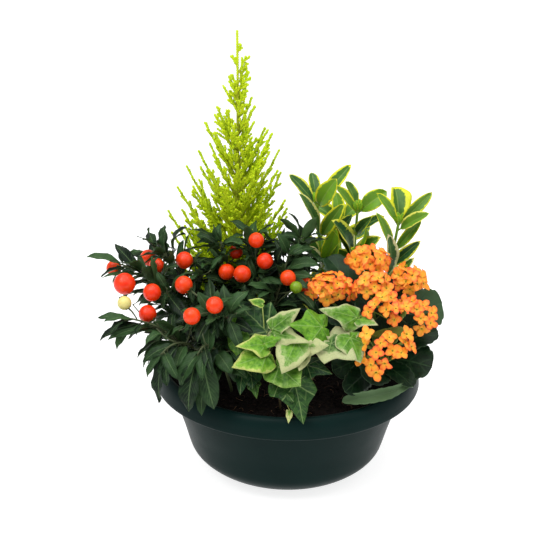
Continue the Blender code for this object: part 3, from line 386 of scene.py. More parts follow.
# Tips of the sprays that make its outline from the front
CYPRESS_OUTLINE = [
    (-0.051, 0.048, 0.432), (-0.060, 0.052, 0.420), (-0.046, 0.049, 0.420), (-0.048, 0.055, 0.407),
    (-0.043, 0.051, 0.404), (-0.060, 0.046, 0.402), (-0.060, 0.044, 0.394), (-0.045, 0.055, 0.390),
    (-0.068, 0.048, 0.389), (-0.040, 0.059, 0.376), (-0.037, 0.052, 0.369), (-0.075, 0.044, 0.370),
    (-0.077, 0.040, 0.363), (-0.088, 0.059, 0.349), (-0.038, 0.047, 0.353), (-0.027, 0.064, 0.343),
    (-0.024, 0.052, 0.344), (-0.019, 0.042, 0.344), (-0.039, 0.038, 0.341), (-0.083, 0.060, 0.327),
    (-0.022, 0.046, 0.331), (-0.012, 0.067, 0.319), (-0.094, 0.053, 0.321), (-0.022, 0.040, 0.325),
    (-0.078, 0.036, 0.323), (-0.107, 0.061, 0.302), (-0.013, 0.046, 0.304), (-0.010, 0.067, 0.295),
    (-0.116, 0.053, 0.282), (-0.100, 0.040, 0.282), (-0.005, 0.036, 0.276), (-0.003, 0.061, 0.258),
    (-0.111, 0.046, 0.260), (-0.127, 0.067, 0.251), (-0.003, 0.053, 0.252), (-0.108, 0.040, 0.245),
    (-0.121, 0.036, 0.239),
]
# The other sprays: how many, the heights of the lowest and the highest tip, and how far their
# tips lie from the leader, as (distance below the top, spread)
CYPRESS_INNER = 120
CYPRESS_INNER_TIPS = (0.165, 0.400)
CYPRESS_SPREAD = [(0.0, 0.002), (0.03, 0.0075), (0.067, 0.0135), (0.087, 0.020), (0.107, 0.031),
                  (0.14, 0.042), (0.182, 0.056), (0.21, 0.062), (0.30, 0.070)]


# Mesh building


def put(name, data):
    """A new object in the scene that shows this mesh, lamp or camera."""
    thing = bpy.data.objects.new(name, data)
    bpy.context.scene.collection.objects.link(thing)
    return thing


class Skin:
    """Collects the faces of one piece.

    finish: which of the piece's materials a face takes; place: across, along and which side of a
    leaf; nature: numbers that vary leaf by leaf.
    """

    def __init__(self):
        self.corners = []
        self.faces = []
        self.finishes = []
        self.places = []
        self.natures = []

    def add(self, corners, faces, finish=0, places=None, nature=PLAIN):
        start = len(self.corners)
        self.corners.extend(corners)
        self.faces.extend([tuple(start + index for index in face) for face in faces])
        self.finishes.extend([finish] * len(faces))
        self.places.extend(places or [(0.0, 0.0, 0.0)] * len(corners))
        self.natures.extend([nature] * len(corners))

    def piece(self, name, finishes, slot, *nodes):
        """Make the object, let it ride on the body and let it stand for its solids."""
        mesh = bpy.data.meshes.new(name)
        mesh.from_pydata(self.corners, [], self.faces)
        for title, values in (("place", self.places), ("nature", self.natures)):
            layer = mesh.attributes.new(title, "FLOAT_VECTOR", "POINT")
            layer.data.foreach_set("vector", [number for value in values for number in value])
        mesh.polygons.foreach_set("material_index", self.finishes)
        for finish in finishes:
            mesh.materials.append(finish)
        mesh.shade_smooth()
        thing = put(name, mesh)
        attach(thing, "root")
        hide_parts(*nodes)


def band(low, high, count):
    """Faces between two closed rings, given by the number of each ring's first corner."""
    faces = []
    for step in range(count):
        after = (step + 1) % count
        faces.append((low + step, high + step, high + after, low + after))
    return faces


def fan(middle, ring, count):
    """Faces from one corner to a closed ring."""
    return [(middle, ring + step, ring + (step + 1) % count) for step in range(count)]


def turned(faces):
    """The same faces, seen from their other side."""
    return [face[:1] + face[:0:-1] for face in faces]


def across_frame(direction):
    """Two ways square to a direction and to each other, the second one upwards."""
    guide = UP if abs(direction.z) < 0.9 else Vector((0.0, 1.0, 0.0))
    side = direction.cross(guide).normalized()
    return side, side.cross(direction).normalized()


def around(side, up, angle):
    """A way square to a stem, turned round it by an angle."""
    return side * math.cos(angle) + up * math.sin(angle)


def heading(angle, rise=0.0):
    """A way along the ground at an angle, or one that rises from it."""
    return Vector((math.cos(angle), math.sin(angle), rise))


def tube(skin, points, radii, finish=0, sides=6, nature=PLAIN):
    """A round stem of changing thickness, with closed ends. Its rings don't twist on the way."""
    corners = []
    faces = []
    places = []
    last = len(points) - 1
    side = across_frame((points[1] - points[0]).normalized())[0]
    for index, point in enumerate(points):
        ahead = (points[min(index + 1, last)] - points[max(index - 1, 0)]).normalized()
        side = (side - ahead * side.dot(ahead)).normalized()
        up = side.cross(ahead)
        for step in range(sides):
            angle = math.tau * step / sides
            corners.append(point + around(side, up, angle) * radii[index])
            places.append((step / sides, index / last, 0.0))
    for index in range(last):
        faces += turned(band(index * sides, (index + 1) * sides, sides))
    faces.append(tuple(reversed(range(sides))))
    faces.append(tuple(last * sides + step for step in range(sides)))
    skin.add(corners, faces, finish, places, nature)


def taper(start, end, count):
    """Evenly spaced numbers from start to end."""
    return [start + (end - start) * index / (count - 1) for index in range(count)]


def stalk(skin, points, first, last, finish=1, sides=6, nature=PLAIN):
    """A stem that thins evenly from its first radius to its last."""
    tube(skin, points, taper(first, last, len(points)), finish, sides, nature)


def in_soil(x, y):
    """Where a stem starts."""
    return Vector((x, y, soil_height(x, y) - ROOT_DEPTH))


def stem_line(points, count=14):
    """The same smooth line that the stem's solid follows."""
    root = in_soil(*points[0])
    elbow, tip = Vector(points[1]), Vector(points[2])
    collar = root + UP * (STEM_COLLAR + ROOT_DEPTH + SOIL_GAP)
    return [root] + interpolate_bezier(collar, collar.lerp(elbow, STEM_PULL),
                                       tip.lerp(elbow, STEM_PULL), tip, count)


def new_shoot(path, radius, thinning, finish, sides, count=14):
    """A skin with a stem along a path, and the stem's line."""
    skin = Skin()
    line = stem_line(path, count)
    stalk(skin, line, radius, radius * thinning, finish, sides)
    return skin, line


def curve(start, bend, end, count):
    """A smooth line from start to end that is drawn towards one point."""
    return interpolate_bezier(start, bend, bend, end, count)


def point_on(line, share):
    """The place on a line at a share of its way."""
    place = share * (len(line) - 1)
    index = min(int(place), len(line) - 2)
    return line[index].lerp(line[index + 1], place - index)


def facing_of(base, tip, outward=0.6, front=0.0):
    """Which way a leaf's upper side looks: up, away from the middle if it hangs, or forward."""
    away = Vector((base.x + tip.x, base.y + tip.y, 0.0))
    return UP + away.normalized() * outward + FRONT * front


# Leaves

SCALLOPS = 9                 # along each side of a kalanchoe leaf


def leaf_outline(height, rise, fall, least):
    """How wide a leaf is on its way from foot to tip, to its full width."""
    return lambda way: height * way ** rise * (1.0 - way) ** fall + least


lance = leaf_outline(2.95, 0.75, 0.85, 0.03)         # widest below the middle
oval = leaf_outline(3.12, 0.90, 0.75, 0.02)          # widest above the middle, short point
petal_shape = leaf_outline(2.85, 0.72, 0.78, 0.04)
round_leaf = leaf_outline(2.05, 0.60, 0.42, 0.03)


def scalloped(way):
    """Broad and round, with a scalloped edge towards the tip."""
    notch = abs(math.cos(way * SCALLOPS * math.pi)) ** 4 * min(1.0, 2.0 * way)
    return round_leaf(way) * (1.0 - 0.09 * notch)


SLIMMEST = 0.015             # share of its width that a leaf keeps at its very tip
RIPPLES = 15.0               # how fast a leaf's edge waves along it
RIPPLE_SHIFTS = (40.0, 1.2)  # of the wave, from leaf to leaf and from side to side


def blade(skin, base, tip, width, outline, finish=0, rows=9, cols=6, arch=0.10, fold=0.25,
          wave=0.0, thickness=0.0005, nature=PLAIN, facing=None, twist=0.0):
    """A leaf blade as a thin closed skin, folded along its midrib and arched along its length."""
    along = tip - base
    side = along.cross(facing or facing_of(base, tip)).normalized()
    normal = side.cross(along).normalized()
    corners = []
    places = []
    spine = []
    for row in range(rows + 1):
        way = row / rows
        lift = 4.0 * way * (1.0 - way) * arch
        spine.append(base + along * way + normal * (lift * along.length))
    for layer in (1, 0):
        for row in range(rows + 1):
            way = row / rows
            ahead = (spine[min(row + 1, rows)] - spine[max(row - 1, 0)]).normalized()
            turn = Matrix.Rotation(twist * way, 3, ahead)
            across = turn @ (ahead.cross(normal)).normalized()
            above = across.cross(ahead).normalized()
            half = width / 2.0 * max(outline(way), SLIMMEST)
            for col in range(cols + 1):
                share = 2.0 * col / cols - 1.0
                rise = abs(share) * half * math.sin(fold)
                phase = way * RIPPLES + nature[0] * RIPPLE_SHIFTS[0]
                phase += RIPPLE_SHIFTS[1] if share > 0 else 0.0
                ripple = wave * share * share * math.sin(phase)
                edge = 1.0 - 0.7 * share * share
                depth = 0.0 if layer else -thickness * edge
                corners.append(spine[row] + across * (share * half * math.cos(fold))
                               + above * (rise + ripple + depth))
                places.append((share, way, float(layer)))
    size = (rows + 1) * (cols + 1)
    faces = []
    for row in range(rows):
        for col in range(cols):
            here = row * (cols + 1) + col
            above_here = here + cols + 1
            faces.append((here, here + 1, above_here + 1, above_here))
            faces.append((size + here, size + above_here, size + above_here + 1, size + here + 1))
    rim = list(range(cols + 1))
    rim += [row * (cols + 1) + cols for row in range(1, rows + 1)]
    rim += [rows * (cols + 1) + col for col in range(cols - 1, -1, -1)]
    rim += [row * (cols + 1) for row in range(rows - 1, 0, -1)]
    for index, here in enumerate(rim):
        after = rim[(index + 1) % len(rim)]
        faces.append((here, size + here, size + after, after))
    skin.add(corners, faces, finish, places, nature)


# How far an ivy leaf's edge lies from its stalk: the angle in degrees from its tip, the reach,
# and whether the edge is pointed there
IVY_OUTLINES = {
    "five": [(0, 1.00, True), (30, 0.60, False), (60, 0.84, True), (92, 0.56, False),
             (128, 0.66, True), (160, 0.36, False), (180, 0.12, False)],
    "three": [(0, 1.00, True), (36, 0.62, False), (72, 0.76, True), (115, 0.54, False),
              (150, 0.44, False), (180, 0.14, False)],
    "heart": [(0, 1.00, True), (28, 0.76, False), (70, 0.70, False), (110, 0.66, False),
              (145, 0.60, False), (168, 0.36, False), (180, 0.12, False)],
    "lobed": [(0, 1.00, True), (34, 0.62, False), (66, 0.80, False), (98, 0.60, False),
              (132, 0.72, False), (165, 0.42, False), (180, 0.12, False)],
    "narrow": [(0, 1.00, True), (24, 0.62, False), (60, 0.40, False), (110, 0.34, False),
               (150, 0.30, False), (180, 0.10, False)],
}


def ivy_reach(degrees, outline):
    """The edge between the places given: rounded, except at the pointed tips."""
    degrees = min(180.0, abs(degrees))
    for (start, first, first_pointed), (end, second, second_pointed) in zip(outline, outline[1:]):
        if degrees <= end:
            way = (degrees - start) / (end - start)
            if first_pointed:
                smooth = 1.0 - (1.0 - way) ** 1.6
            elif second_pointed:
                smooth = way ** 1.6
            else:
                smooth = way * way * (3.0 - 2.0 * way)
            return first + (second - first) * smooth


IVY_SPOKES = 60
IVY_RINGS = 7
IVY_THICKNESS = 0.0004
IVY_HEEL = 0.55              # how far its back lobes reach, to its width


def ivy_blade(skin, joint, tip, width, outline, finish, nature, tone):
    """A lobed leaf: rings round the joint, thin, closed, bent down at the edge and wavy."""
    along = tip - joint
    length = along.length
    ahead = along.normalized()
    side = along.cross(facing_of(joint, tip, 1.1)).normalized()
    normal = side.cross(ahead).normalized()
    broad = max(ivy_reach(degrees, outline) * math.sin(math.radians(degrees))
                for degrees in range(0, 181, 5))
    curl = 0.10 + 0.08 * math.sin(tone * 21.0)
    fold = 0.10 * math.sin(tone * 50.0)
    corners = []
    places = []
    for layer in (1, 0):
        corners.append(joint - normal * (IVY_THICKNESS * (1 - layer)))
        places.append((0.0, 0.0, 0.0))
        for ring in range(1, IVY_RINGS + 1):
            share = ring / IVY_RINGS
            for spoke in range(IVY_SPOKES):
                degrees = 360.0 * spoke / IVY_SPOKES - 180.0
                angle = math.radians(degrees)
                reach = ivy_reach(degrees, outline) * share
                forward, across = math.cos(angle) * reach, math.sin(angle) * reach
                stretch = length if forward > 0.0 else width * IVY_HEEL
                height = math.cos(math.radians(degrees * 6.2)) * 0.03 * share
                height -= curl * reach * reach
                height += 0.045 * math.sin(5.0 * angle + tone * 30.0) * share ** 3
                height += fold * abs(across)
                depth = 0.0 if layer else -IVY_THICKNESS * (1.0 - 0.6 * share)
                corners.append(joint + ahead * (forward * stretch)
                               + side * (across * width / (2.0 * broad))
                               + normal * (height * length + depth))
                places.append((across, forward, share))
    under = 1 + IVY_RINGS * IVY_SPOKES
    faces = fan(0, 1, IVY_SPOKES) + turned(fan(under, under + 1, IVY_SPOKES))
    for ring in range(IVY_RINGS - 1):
        low, high = 1 + ring * IVY_SPOKES, 1 + (ring + 1) * IVY_SPOKES
        faces += band(low, high, IVY_SPOKES)
        faces += turned(band(under + low, under + high, IVY_SPOKES))
    edge = 1 + (IVY_RINGS - 1) * IVY_SPOKES
    faces += band(edge, under + edge, IVY_SPOKES)
    skin.add(corners, faces, finish, places, nature)


# Bowl and soil

WALL = 0.003
LIP_RADIUS = 0.136
CREST_RADIUS = 0.127
CREST_HEIGHT = 0.115
SOIL_EDGE_HEIGHT = 0.108
SOIL_MOUND = 0.004
SOIL_RADIUS = 0.1224
SOIL_FOOT = (0.118, 0.098)   # radius and height at which the soil ends inside the bowl
SOIL_RINGS = 70
SOIL_SEGMENTS = 220
SOIL_DIP = 0.0004            # how far its surface lies under the solid's, without its clods
CLODS = (90.0, 0.0016)       # how many on a metre, near enough, and how high they are
GRIT = (320.0, 0.0014)
CRUMBS = 900
CRUMB_SIZES = (0.0007, 0.0022)
FIBRES = 220
FIBRE_LENGTHS = (0.003, 0.011)
FIBRE_RADII = (0.00012, 0.00030)
FIBRE_HEIGHT = 0.0012
BOWL_SEGMENTS = 160
ROLL_STEPS = 12
ROLL_HEIGHT = 0.0965         # where the lip starts to roll inwards
LIP_ROUNDING = 0.0006
CHANNEL_COUNT = 8
CHANNEL_DEPTH = 0.0025
CHANNEL_ENDS = (0.052, 0.082)       # radii
CHANNEL_SLOPE = 0.010        # how far its outer end takes to reach its depth
CHANNEL_WIDTH = 0.13         # half of it, in shares of the way to the next channel
WALL_PROFILE = [
    (0.0655, 0.000), (0.0765, 0.005), (0.0887, 0.012), (0.0990, 0.022), (0.1027, 0.034),
    (0.1065, 0.048), (0.1110, 0.062), (0.1155, 0.076), (0.1200, 0.090),
]


def soil_height(x, y):
    """A low mound, highest in the middle."""
    share = min(1.0, math.hypot(x, y) / CREST_RADIUS)
    return SOIL_EDGE_HEIGHT + SOIL_MOUND * (1.0 - share ** 2)


def smoothed(profile, rounds=2):
    """Cut the corners of an outline, which rounds it."""
    for _ in range(rounds):
        fuller = [profile[0]]
        for (r1, z1), (r2, z2) in zip(profile, profile[1:]):
            fuller.append((r1 * 0.75 + r2 * 0.25, z1 * 0.75 + z2 * 0.25))
            fuller.append((r1 * 0.25 + r2 * 0.75, z1 * 0.25 + z2 * 0.75))
        fuller.append(profile[-1])
        profile = fuller
    return profile


def bowl(finish):
    """The planter: foot with drain channels, flared wall, shoulder, rolled lip, hollow inside."""
    wall = smoothed([(0.050, 0.0), (0.062, 0.0)] + WALL_PROFILE)
    shoulder = [(0.1215, 0.0935), (0.1240, 0.0948), (0.1330, 0.0942), (0.1354, 0.0944),
                (LIP_RADIUS, 0.0956)]
    roll = []
    for step in range(1, ROLL_STEPS + 1):
        turn = math.radians(90.0 * step / ROLL_STEPS)
        roll.append((CREST_RADIUS + (LIP_RADIUS - LIP_ROUNDING - CREST_RADIUS) * math.cos(turn),
                     ROLL_HEIGHT + (CREST_HEIGHT - ROLL_HEIGHT) * math.sin(turn)))
    inside = smoothed([(0.1250, 0.1142), (0.1236, 0.1110), (0.1205, 0.1010), (0.1190, 0.0970),
                       (0.1120, 0.0730), (0.0950, 0.0220), (0.0600, WALL)], 1)
    profile = wall + shoulder + roll + inside
    inner, outer = CHANNEL_ENDS
    skin = Skin()
    corners = []
    faces = []
    count = len(profile)
    for step in range(BOWL_SEGMENTS):
        angle = math.tau * step / BOWL_SEGMENTS
        turn = (step / BOWL_SEGMENTS * CHANNEL_COUNT + 0.5) % 1.0 - 0.5
        channel = max(0.0, 1.0 - (abs(turn) / CHANNEL_WIDTH) ** 4)
        for index, (radius, height) in enumerate(profile):
            lift = 0.0
            if index < len(wall) and inner < radius < outer:
                lift = CHANNEL_DEPTH * channel * min(1.0, (outer - radius) / CHANNEL_SLOPE)
            corners.append(heading(angle) * radius + UP * max(height, min(lift, height + lift)))
        here, there = step * count, (step + 1) % BOWL_SEGMENTS * count
        for point in range(count - 1):
            faces.append((here + point, there + point, there + point + 1, here + point + 1))
    faces.append(tuple(step * count for step in reversed(range(BOWL_SEGMENTS))))
    faces.append(tuple(step * count + count - 1 for step in range(BOWL_SEGMENTS)))
    skin.add(corners, faces)
    skin.piece("bowl_shell", [finish], "bowl_plastic", "bowl", "bowl_lip")


def soil_spot(draw, share):
    """Some place on the soil, within that share of its radius."""
    angle = draw.uniform(0, math.tau)
    radius = SOIL_RADIUS * math.sqrt(draw.random()) * share
    x, y = radius * math.cos(angle), radius * math.sin(angle)
    return Vector((x, y, soil_height(x, y)))


CLOD_CORNERS = [(1, 0, 0), (0, 1, 0), (-1, 0, 0), (0, -1, 0), (0, 0, 1), (0, 0, -1)]
CLOD_FACES = fan(4, 0, 4) + turned(fan(5, 0, 4))


def crumb(skin, centre, size, draw):
    """An uneven little clod."""
    corners = []
    for corner in CLOD_CORNERS:
        stretch = (draw.uniform(0.6, 1.3), draw.uniform(0.6, 1.3), draw.uniform(0.5, 1.0))
        corners.append(centre + Vector([c * s * size for c, s in zip(corner, stretch)]))
    skin.add(corners, CLOD_FACES, 0, None, (draw.random(), 0.0, 0.0))


def root_fibre(skin, start, draw):
    """A thin curved fibre that lies on the soil."""
    way = draw.uniform(0, math.tau)
    length = draw.uniform(*FIBRE_LENGTHS)
    bend = draw.uniform(-1.2, 1.2)
    points = []
    for share in taper(0.0, 1.0, 5):
        points.append(start + heading(way + bend * share) * (length * share)
                      + UP * (FIBRE_HEIGHT * math.sin(math.pi * share)))
    thick = draw.uniform(*FIBRE_RADII)
    stalk(skin, points, thick, thick * 0.5, 1, 4, (draw.random(), 0.0, 0.0))


def soil(finish, fibre):
    """Crumbly surface with clods and brown root fibres."""
    draw = random.Random(11)
    skin = Skin()
    corners = []
    for ring in range(1, SOIL_RINGS + 1):
        share = ring / SOIL_RINGS
        for step in range(SOIL_SEGMENTS):
            place = heading(math.tau * step / SOIL_SEGMENTS) * (SOIL_RADIUS * share)
            rough = noise.fractal(place * CLODS[0], 1.0, 2.0, 4) * CLODS[1]
            rough += abs(noise.noise(place * GRIT[0])) * GRIT[1]
            rough *= 1.0 if share < 0.96 else 0.3
            corners.append(place + UP * (soil_height(place.x, place.y) + rough - SOIL_DIP))
    middle = len(corners)
    under = middle + 1
    corners.append((0.0, 0.0, soil_height(0.0, 0.0)))
    foot_radius, foot_height = SOIL_FOOT
    for step in range(SOIL_SEGMENTS):
        corners.append(heading(math.tau * step / SOIL_SEGMENTS) * foot_radius + UP * foot_height)
    faces = fan(middle, 0, SOIL_SEGMENTS)
    for ring in range(SOIL_RINGS - 1):
        faces += band(ring * SOIL_SEGMENTS, (ring + 1) * SOIL_SEGMENTS, SOIL_SEGMENTS)
    faces += band((SOIL_RINGS - 1) * SOIL_SEGMENTS, under, SOIL_SEGMENTS)
    faces.append(tuple(under + step for step in reversed(range(SOIL_SEGMENTS))))
    skin.add(corners, faces)
    for _ in range(CRUMBS):
        spot = soil_spot(draw, 0.97)
        size = draw.uniform(*CRUMB_SIZES)
        crumb(skin, spot + UP * (size * 0.6), size, draw)
    for _ in range(FIBRES):
        root_fibre(skin, soil_spot(draw, 0.96) + UP * FIBRE_HEIGHT, draw)
    skin.piece("soil_surface", [finish, fibre], "soil", "soil")


# Winter cherry


def leaf_with_stalk(skin, foot, tip, width, outline, draw, thick=0.0005, **look):
    """A leaf whose short stalk leaves the stem at its foot."""
    look.setdefault("nature", (draw.random(), 0.0, 0.0))
    tube(skin, [foot, foot.lerp(tip, 0.06), foot.lerp(tip, 0.16)], [thick * 1.4, thick, thick],
         1, 5)
    blade(skin, foot.lerp(tip, 0.10), tip, width, outline, **look)


def cherry_leaf(skin, foot, tip, width, draw, rows=9, cols=6, most_arch=0.20):
    leaf_with_stalk(
        skin, foot, tip, width, lance, draw, rows=rows, cols=cols,
        arch=draw.uniform(0.06, most_arch), fold=draw.uniform(0.15, 0.45),
        wave=width * draw.uniform(0.05, 0.13), twist=draw.uniform(-0.5, 0.5), thickness=0.0004,
    )


def cherry_spray(skin, line, start_share, count, length, draw, ceiling, balls):
    """Leaves in a spiral along a stem, smaller towards its tip, clear of berries."""
    turn = draw.uniform(0, math.tau)
    for index in range(count):
        share = start_share + (1.0 - start_share) * (index + 0.5) / count
        foot = point_on(line, share)
        ahead = (point_on(line, min(1.0, share + 0.05)) - point_on(line, share - 0.05)).normalized()
        side, up = across_frame(ahead)
        outward = around(side, up, turn + GOLDEN_ANGLE * index)
        way = outward + ahead * draw.uniform(0.25, 0.8) + UP * draw.uniform(-0.30, 0.20)
        reach = length * draw.uniform(0.7, 1.15) * (1.0 - 0.35 * share)
        tip = foot + way.normalized() * reach
        width = reach * draw.uniform(0.29, 0.40)
        if tip.z < ceiling and clear_of_rim(tip) and clear_of_berries(foot, tip, width, balls):
            cherry_leaf(skin, foot, tip, width, draw, 7, 4)


def clear_of_rim(tip):
    """Whether a leaf tip lies above the soil and the bowl's lip, or outside the bowl."""
    outside = math.hypot(tip.x, tip.y) >= LIP_REACH
    return outside or tip.z > soil_height(tip.x, tip.y) + LEAF_CLEARANCE


def clear_of_berries(foot, tip, width, balls):
    """Whether a leaf passes beside every berry."""
    return all((foot.lerp(tip, step / 5) - centre).length >= radius + width * 0.35
               for centre, radius in balls for step in range(1, 6))


def cherry(leaf, stem):
    """Every shoot with its placed leaves, side twigs and filling leaves."""
    lines = {}
    balls = [berry_ball(number) for number in range(1, len(BERRIES) + 1)]
    for number, (name, shoot) in enumerate(CHERRY_SHOOTS.items()):
        draw = random.Random(40 + number)
        skin, line = new_shoot(shoot["path"], CHERRY_STEM_RADIUS, 0.5, 1, 8)
        lines[name] = line
        for share, tip, width in shoot["leaves"]:
            cherry_leaf(skin, point_on(line, share), Vector(tip), width * CHERRY_WIDENING, draw,
                        most_arch=0.12)
        ceiling = max(tip[2] for _, tip, _ in shoot["leaves"]) - 0.002
        cherry_spray(skin, line, FILL_START, FILL_LEAVES, FILL_LEAF, draw, ceiling, balls)
        for index, share in enumerate(taper(*TWIG_FEET, TWIGS_PER_SHOOT)):
            foot = point_on(line, share)
            way = heading(GOLDEN_ANGLE * (index + number * 3), draw.uniform(0.35, 1.0))
            end = foot + way.normalized() * draw.uniform(*TWIG_LENGTHS)
            if inside_solids(end):
                twig = curve(foot, foot.lerp(end, 0.5) - UP * TWIG_SAG, end, 6)
                stalk(skin, twig, *TWIG_RADII, 1, 5)
                cherry_spray(skin, twig, 0.15, LEAVES_PER_TWIG, TWIG_LEAF, draw, ceiling, balls)
        for (shoot_name, share, _), (centre, radius) in zip(BERRIES, balls):
            if shoot_name == name:
                berry_stalk(skin, point_on(line, share), centre, radius)
        skin.piece(f"winter_cherry_{name}", [leaf, stem], "cherry_leaf", f"cherry_{name}")
    return lines


def inside_solids(point):
    """Whether a point keeps clear of the edges of the whole solid box."""
    return all(low + LEAF_CLEARANCE < place < high - LEAF_CLEARANCE
               for low, place, high in zip(solid_bounds[0], point, solid_bounds[1]))


def berry_ball(number):
    """The centre and the radius of a berry's solid."""
    low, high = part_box(f"cherry_berry_{number:02d}")
    return (low + high) / 2.0, (high.z - low.z) / 2.0


def berry_stalk(skin, foot, centre, radius):
    """A thin curved stalk from the shoot to the berry's calyx."""
    end = centre - (centre - foot).normalized() * radius * 0.9
    stalk(skin, curve(foot, foot.lerp(end, 0.5) + UP * 0.002, end, 6), 0.0006, 0.0009)


BERRY_RINGS = 16
BERRY_SEGMENTS = 28
SEPALS = 5


def berry(skin, number, centre, radius, pole, nature):
    """A round berry, dimpled at the stalk and a little at its far end."""
    side, up = across_frame(pole)
    corners = [centre + pole * radius * 0.93]
    places = [(0.0, 1.0, 0.0)]
    for ring in range(1, BERRY_RINGS):
        polar = math.pi * ring / BERRY_RINGS
        dimple = 1.0 - 0.07 * math.exp(-(polar / 0.35) ** 2)
        dimple -= 0.03 * math.exp(-((math.pi - polar) / 0.25) ** 2)
        for step in range(BERRY_SEGMENTS):
            angle = math.tau * step / BERRY_SEGMENTS
            lobes = 1.0 + 0.008 * math.sin(4.0 * angle + number) * math.sin(polar)
            way = pole * math.cos(polar) + around(side, up, angle) * math.sin(polar)
            corners.append(centre + way * (radius * dimple * lobes))
            places.append((step / BERRY_SEGMENTS, math.cos(polar), 0.0))
    last = len(corners)
    corners.append(centre - pole * radius * 0.965)
    places.append((0.0, -1.0, 0.0))
    faces = fan(0, 1, BERRY_SEGMENTS)
    for ring in range(BERRY_RINGS - 2):
        low = 1 + ring * BERRY_SEGMENTS
        faces += band(low, low + BERRY_SEGMENTS, BERRY_SEGMENTS)
    faces += turned(fan(last, last - BERRY_SEGMENTS, BERRY_SEGMENTS))
    skin.add(corners, faces, 0, places, nature)
    for point in range(SEPALS):
        way = around(side, up, math.tau * point / SEPALS)
        base = centre + pole * radius * 0.95
        tip = centre + pole * radius * 0.86 + way * radius * 0.55
        blade(skin, base, tip, radius * 0.30, lance, finish=1, rows=4, cols=2, arch=0.12, fold=0.1,
              thickness=0.0003, facing=pole)


def berries(lines, skins, sepal):
    """Every berry, with its stalk end and its five-pointed calyx towards its shoot."""
    for number, (shoot, share, colour_name) in enumerate(BERRIES, 1):
        centre, radius = berry_ball(number)
        pole = (point_on(lines[shoot], share) - centre).normalized()
        skin = Skin()
        tone = random.Random(200 + number).random()
        berry(skin, number, centre, radius, pole, (tone, 0.0, 0.0))
        skin.piece(f"berry_{number:02d}", [skins[colour_name], sepal], f"berry_{colour_name}",
                   f"cherry_berry_{number:02d}")


# Ivy, euonymus and kalanchoe


def ivy(leaf, stem, vine):
    """Trails with their placed leaves on curved stalks."""
    for number, (name, trail) in enumerate(IVY_TRAILS.items()):
        draw = random.Random(70 + number)
        skin, line = new_shoot(trail["path"], IVY_STEM_RADIUS, 0.7, 2, 8)
        for share, joint, tip, width, outline, cream, dark in trail["leaves"]:
            foot, joint, tip = point_on(line, share), Vector(joint), Vector(tip)
            bend = foot.lerp(joint, 0.5) + (foot - tip).normalized() * 0.004
            stalk(skin, curve(foot, bend, joint, 8), 0.0007, 0.0005)
            ivy_blade(skin, joint, tip, width, IVY_OUTLINES[outline], 0,
                      (cream, dark, trail["yellow"]), draw.random())
        skin.piece(f"ivy_trail_{name}", [leaf, stem, vine], "ivy_leaf", f"ivy_{name}")


def euonymus_leaf(skin, foot, tip, width, nature, draw):
    leaf_with_stalk(
        skin, foot, tip, width * EUONYMUS_WIDENING, oval, draw, rows=14, cols=8,
        arch=draw.uniform(0.02, 0.12), fold=draw.uniform(0.35, 0.75), wave=width * 0.04,
        twist=draw.uniform(-0.35, 0.35), thickness=0.0006, thick=0.0009, nature=nature,
        facing=facing_of(foot, tip, 0.4, EUONYMUS_LEAN),
    )


def euonymus(leaf, stem):
    """Shoots with their placed leaves, pairs of lower leaves and a young tuft at the tip."""
    for number, (name, shoot) in enumerate(EUONYMUS_SHOOTS.items()):
        draw = random.Random(90 + number)
        skin, line = new_shoot(shoot["path"], EUONYMUS_STEM_RADIUS, 0.7, 1, 10, 18)
        for share, tip, width, *nature in shoot["leaves"]:
            euonymus_leaf(skin, point_on(line, share), Vector(tip), width, tuple(nature), draw)
        for index, share in enumerate(taper(*EUONYMUS_LOWER_FEET, EUONYMUS_LOWER_LEAVES)):
            place = point_on(line, share)
            angle = math.pi * (index % 2) + index // 2 * EUONYMUS_PAIR_TURN + number
            way = heading(angle, draw.uniform(0.3, 0.8)).normalized()
            nature = (draw.uniform(0.0, 0.5), draw.uniform(0.3, 0.6), draw.uniform(0.0, 0.4))
            euonymus_leaf(skin, place, place + way * draw.uniform(0.026, 0.036),
                          draw.uniform(0.012, 0.016), nature, draw)
        place = line[-1]
        for index in range(EUONYMUS_TUFT_LEAVES):
            way = (heading(GOLDEN_ANGLE * index + number, 2.4) + FRONT * 0.3).normalized()
            blade(skin, place - UP * 0.002, place + way * 0.011, 0.005, oval, rows=8, cols=4,
                  fold=0.4, nature=(1.0, 0.0, 0.0), facing=facing_of(place, place + way, 0.4, 1.0))
        skin.piece(f"euonymus_shoot_{name}", [leaf, stem], "euonymus_leaf", f"euonymus_{name}")


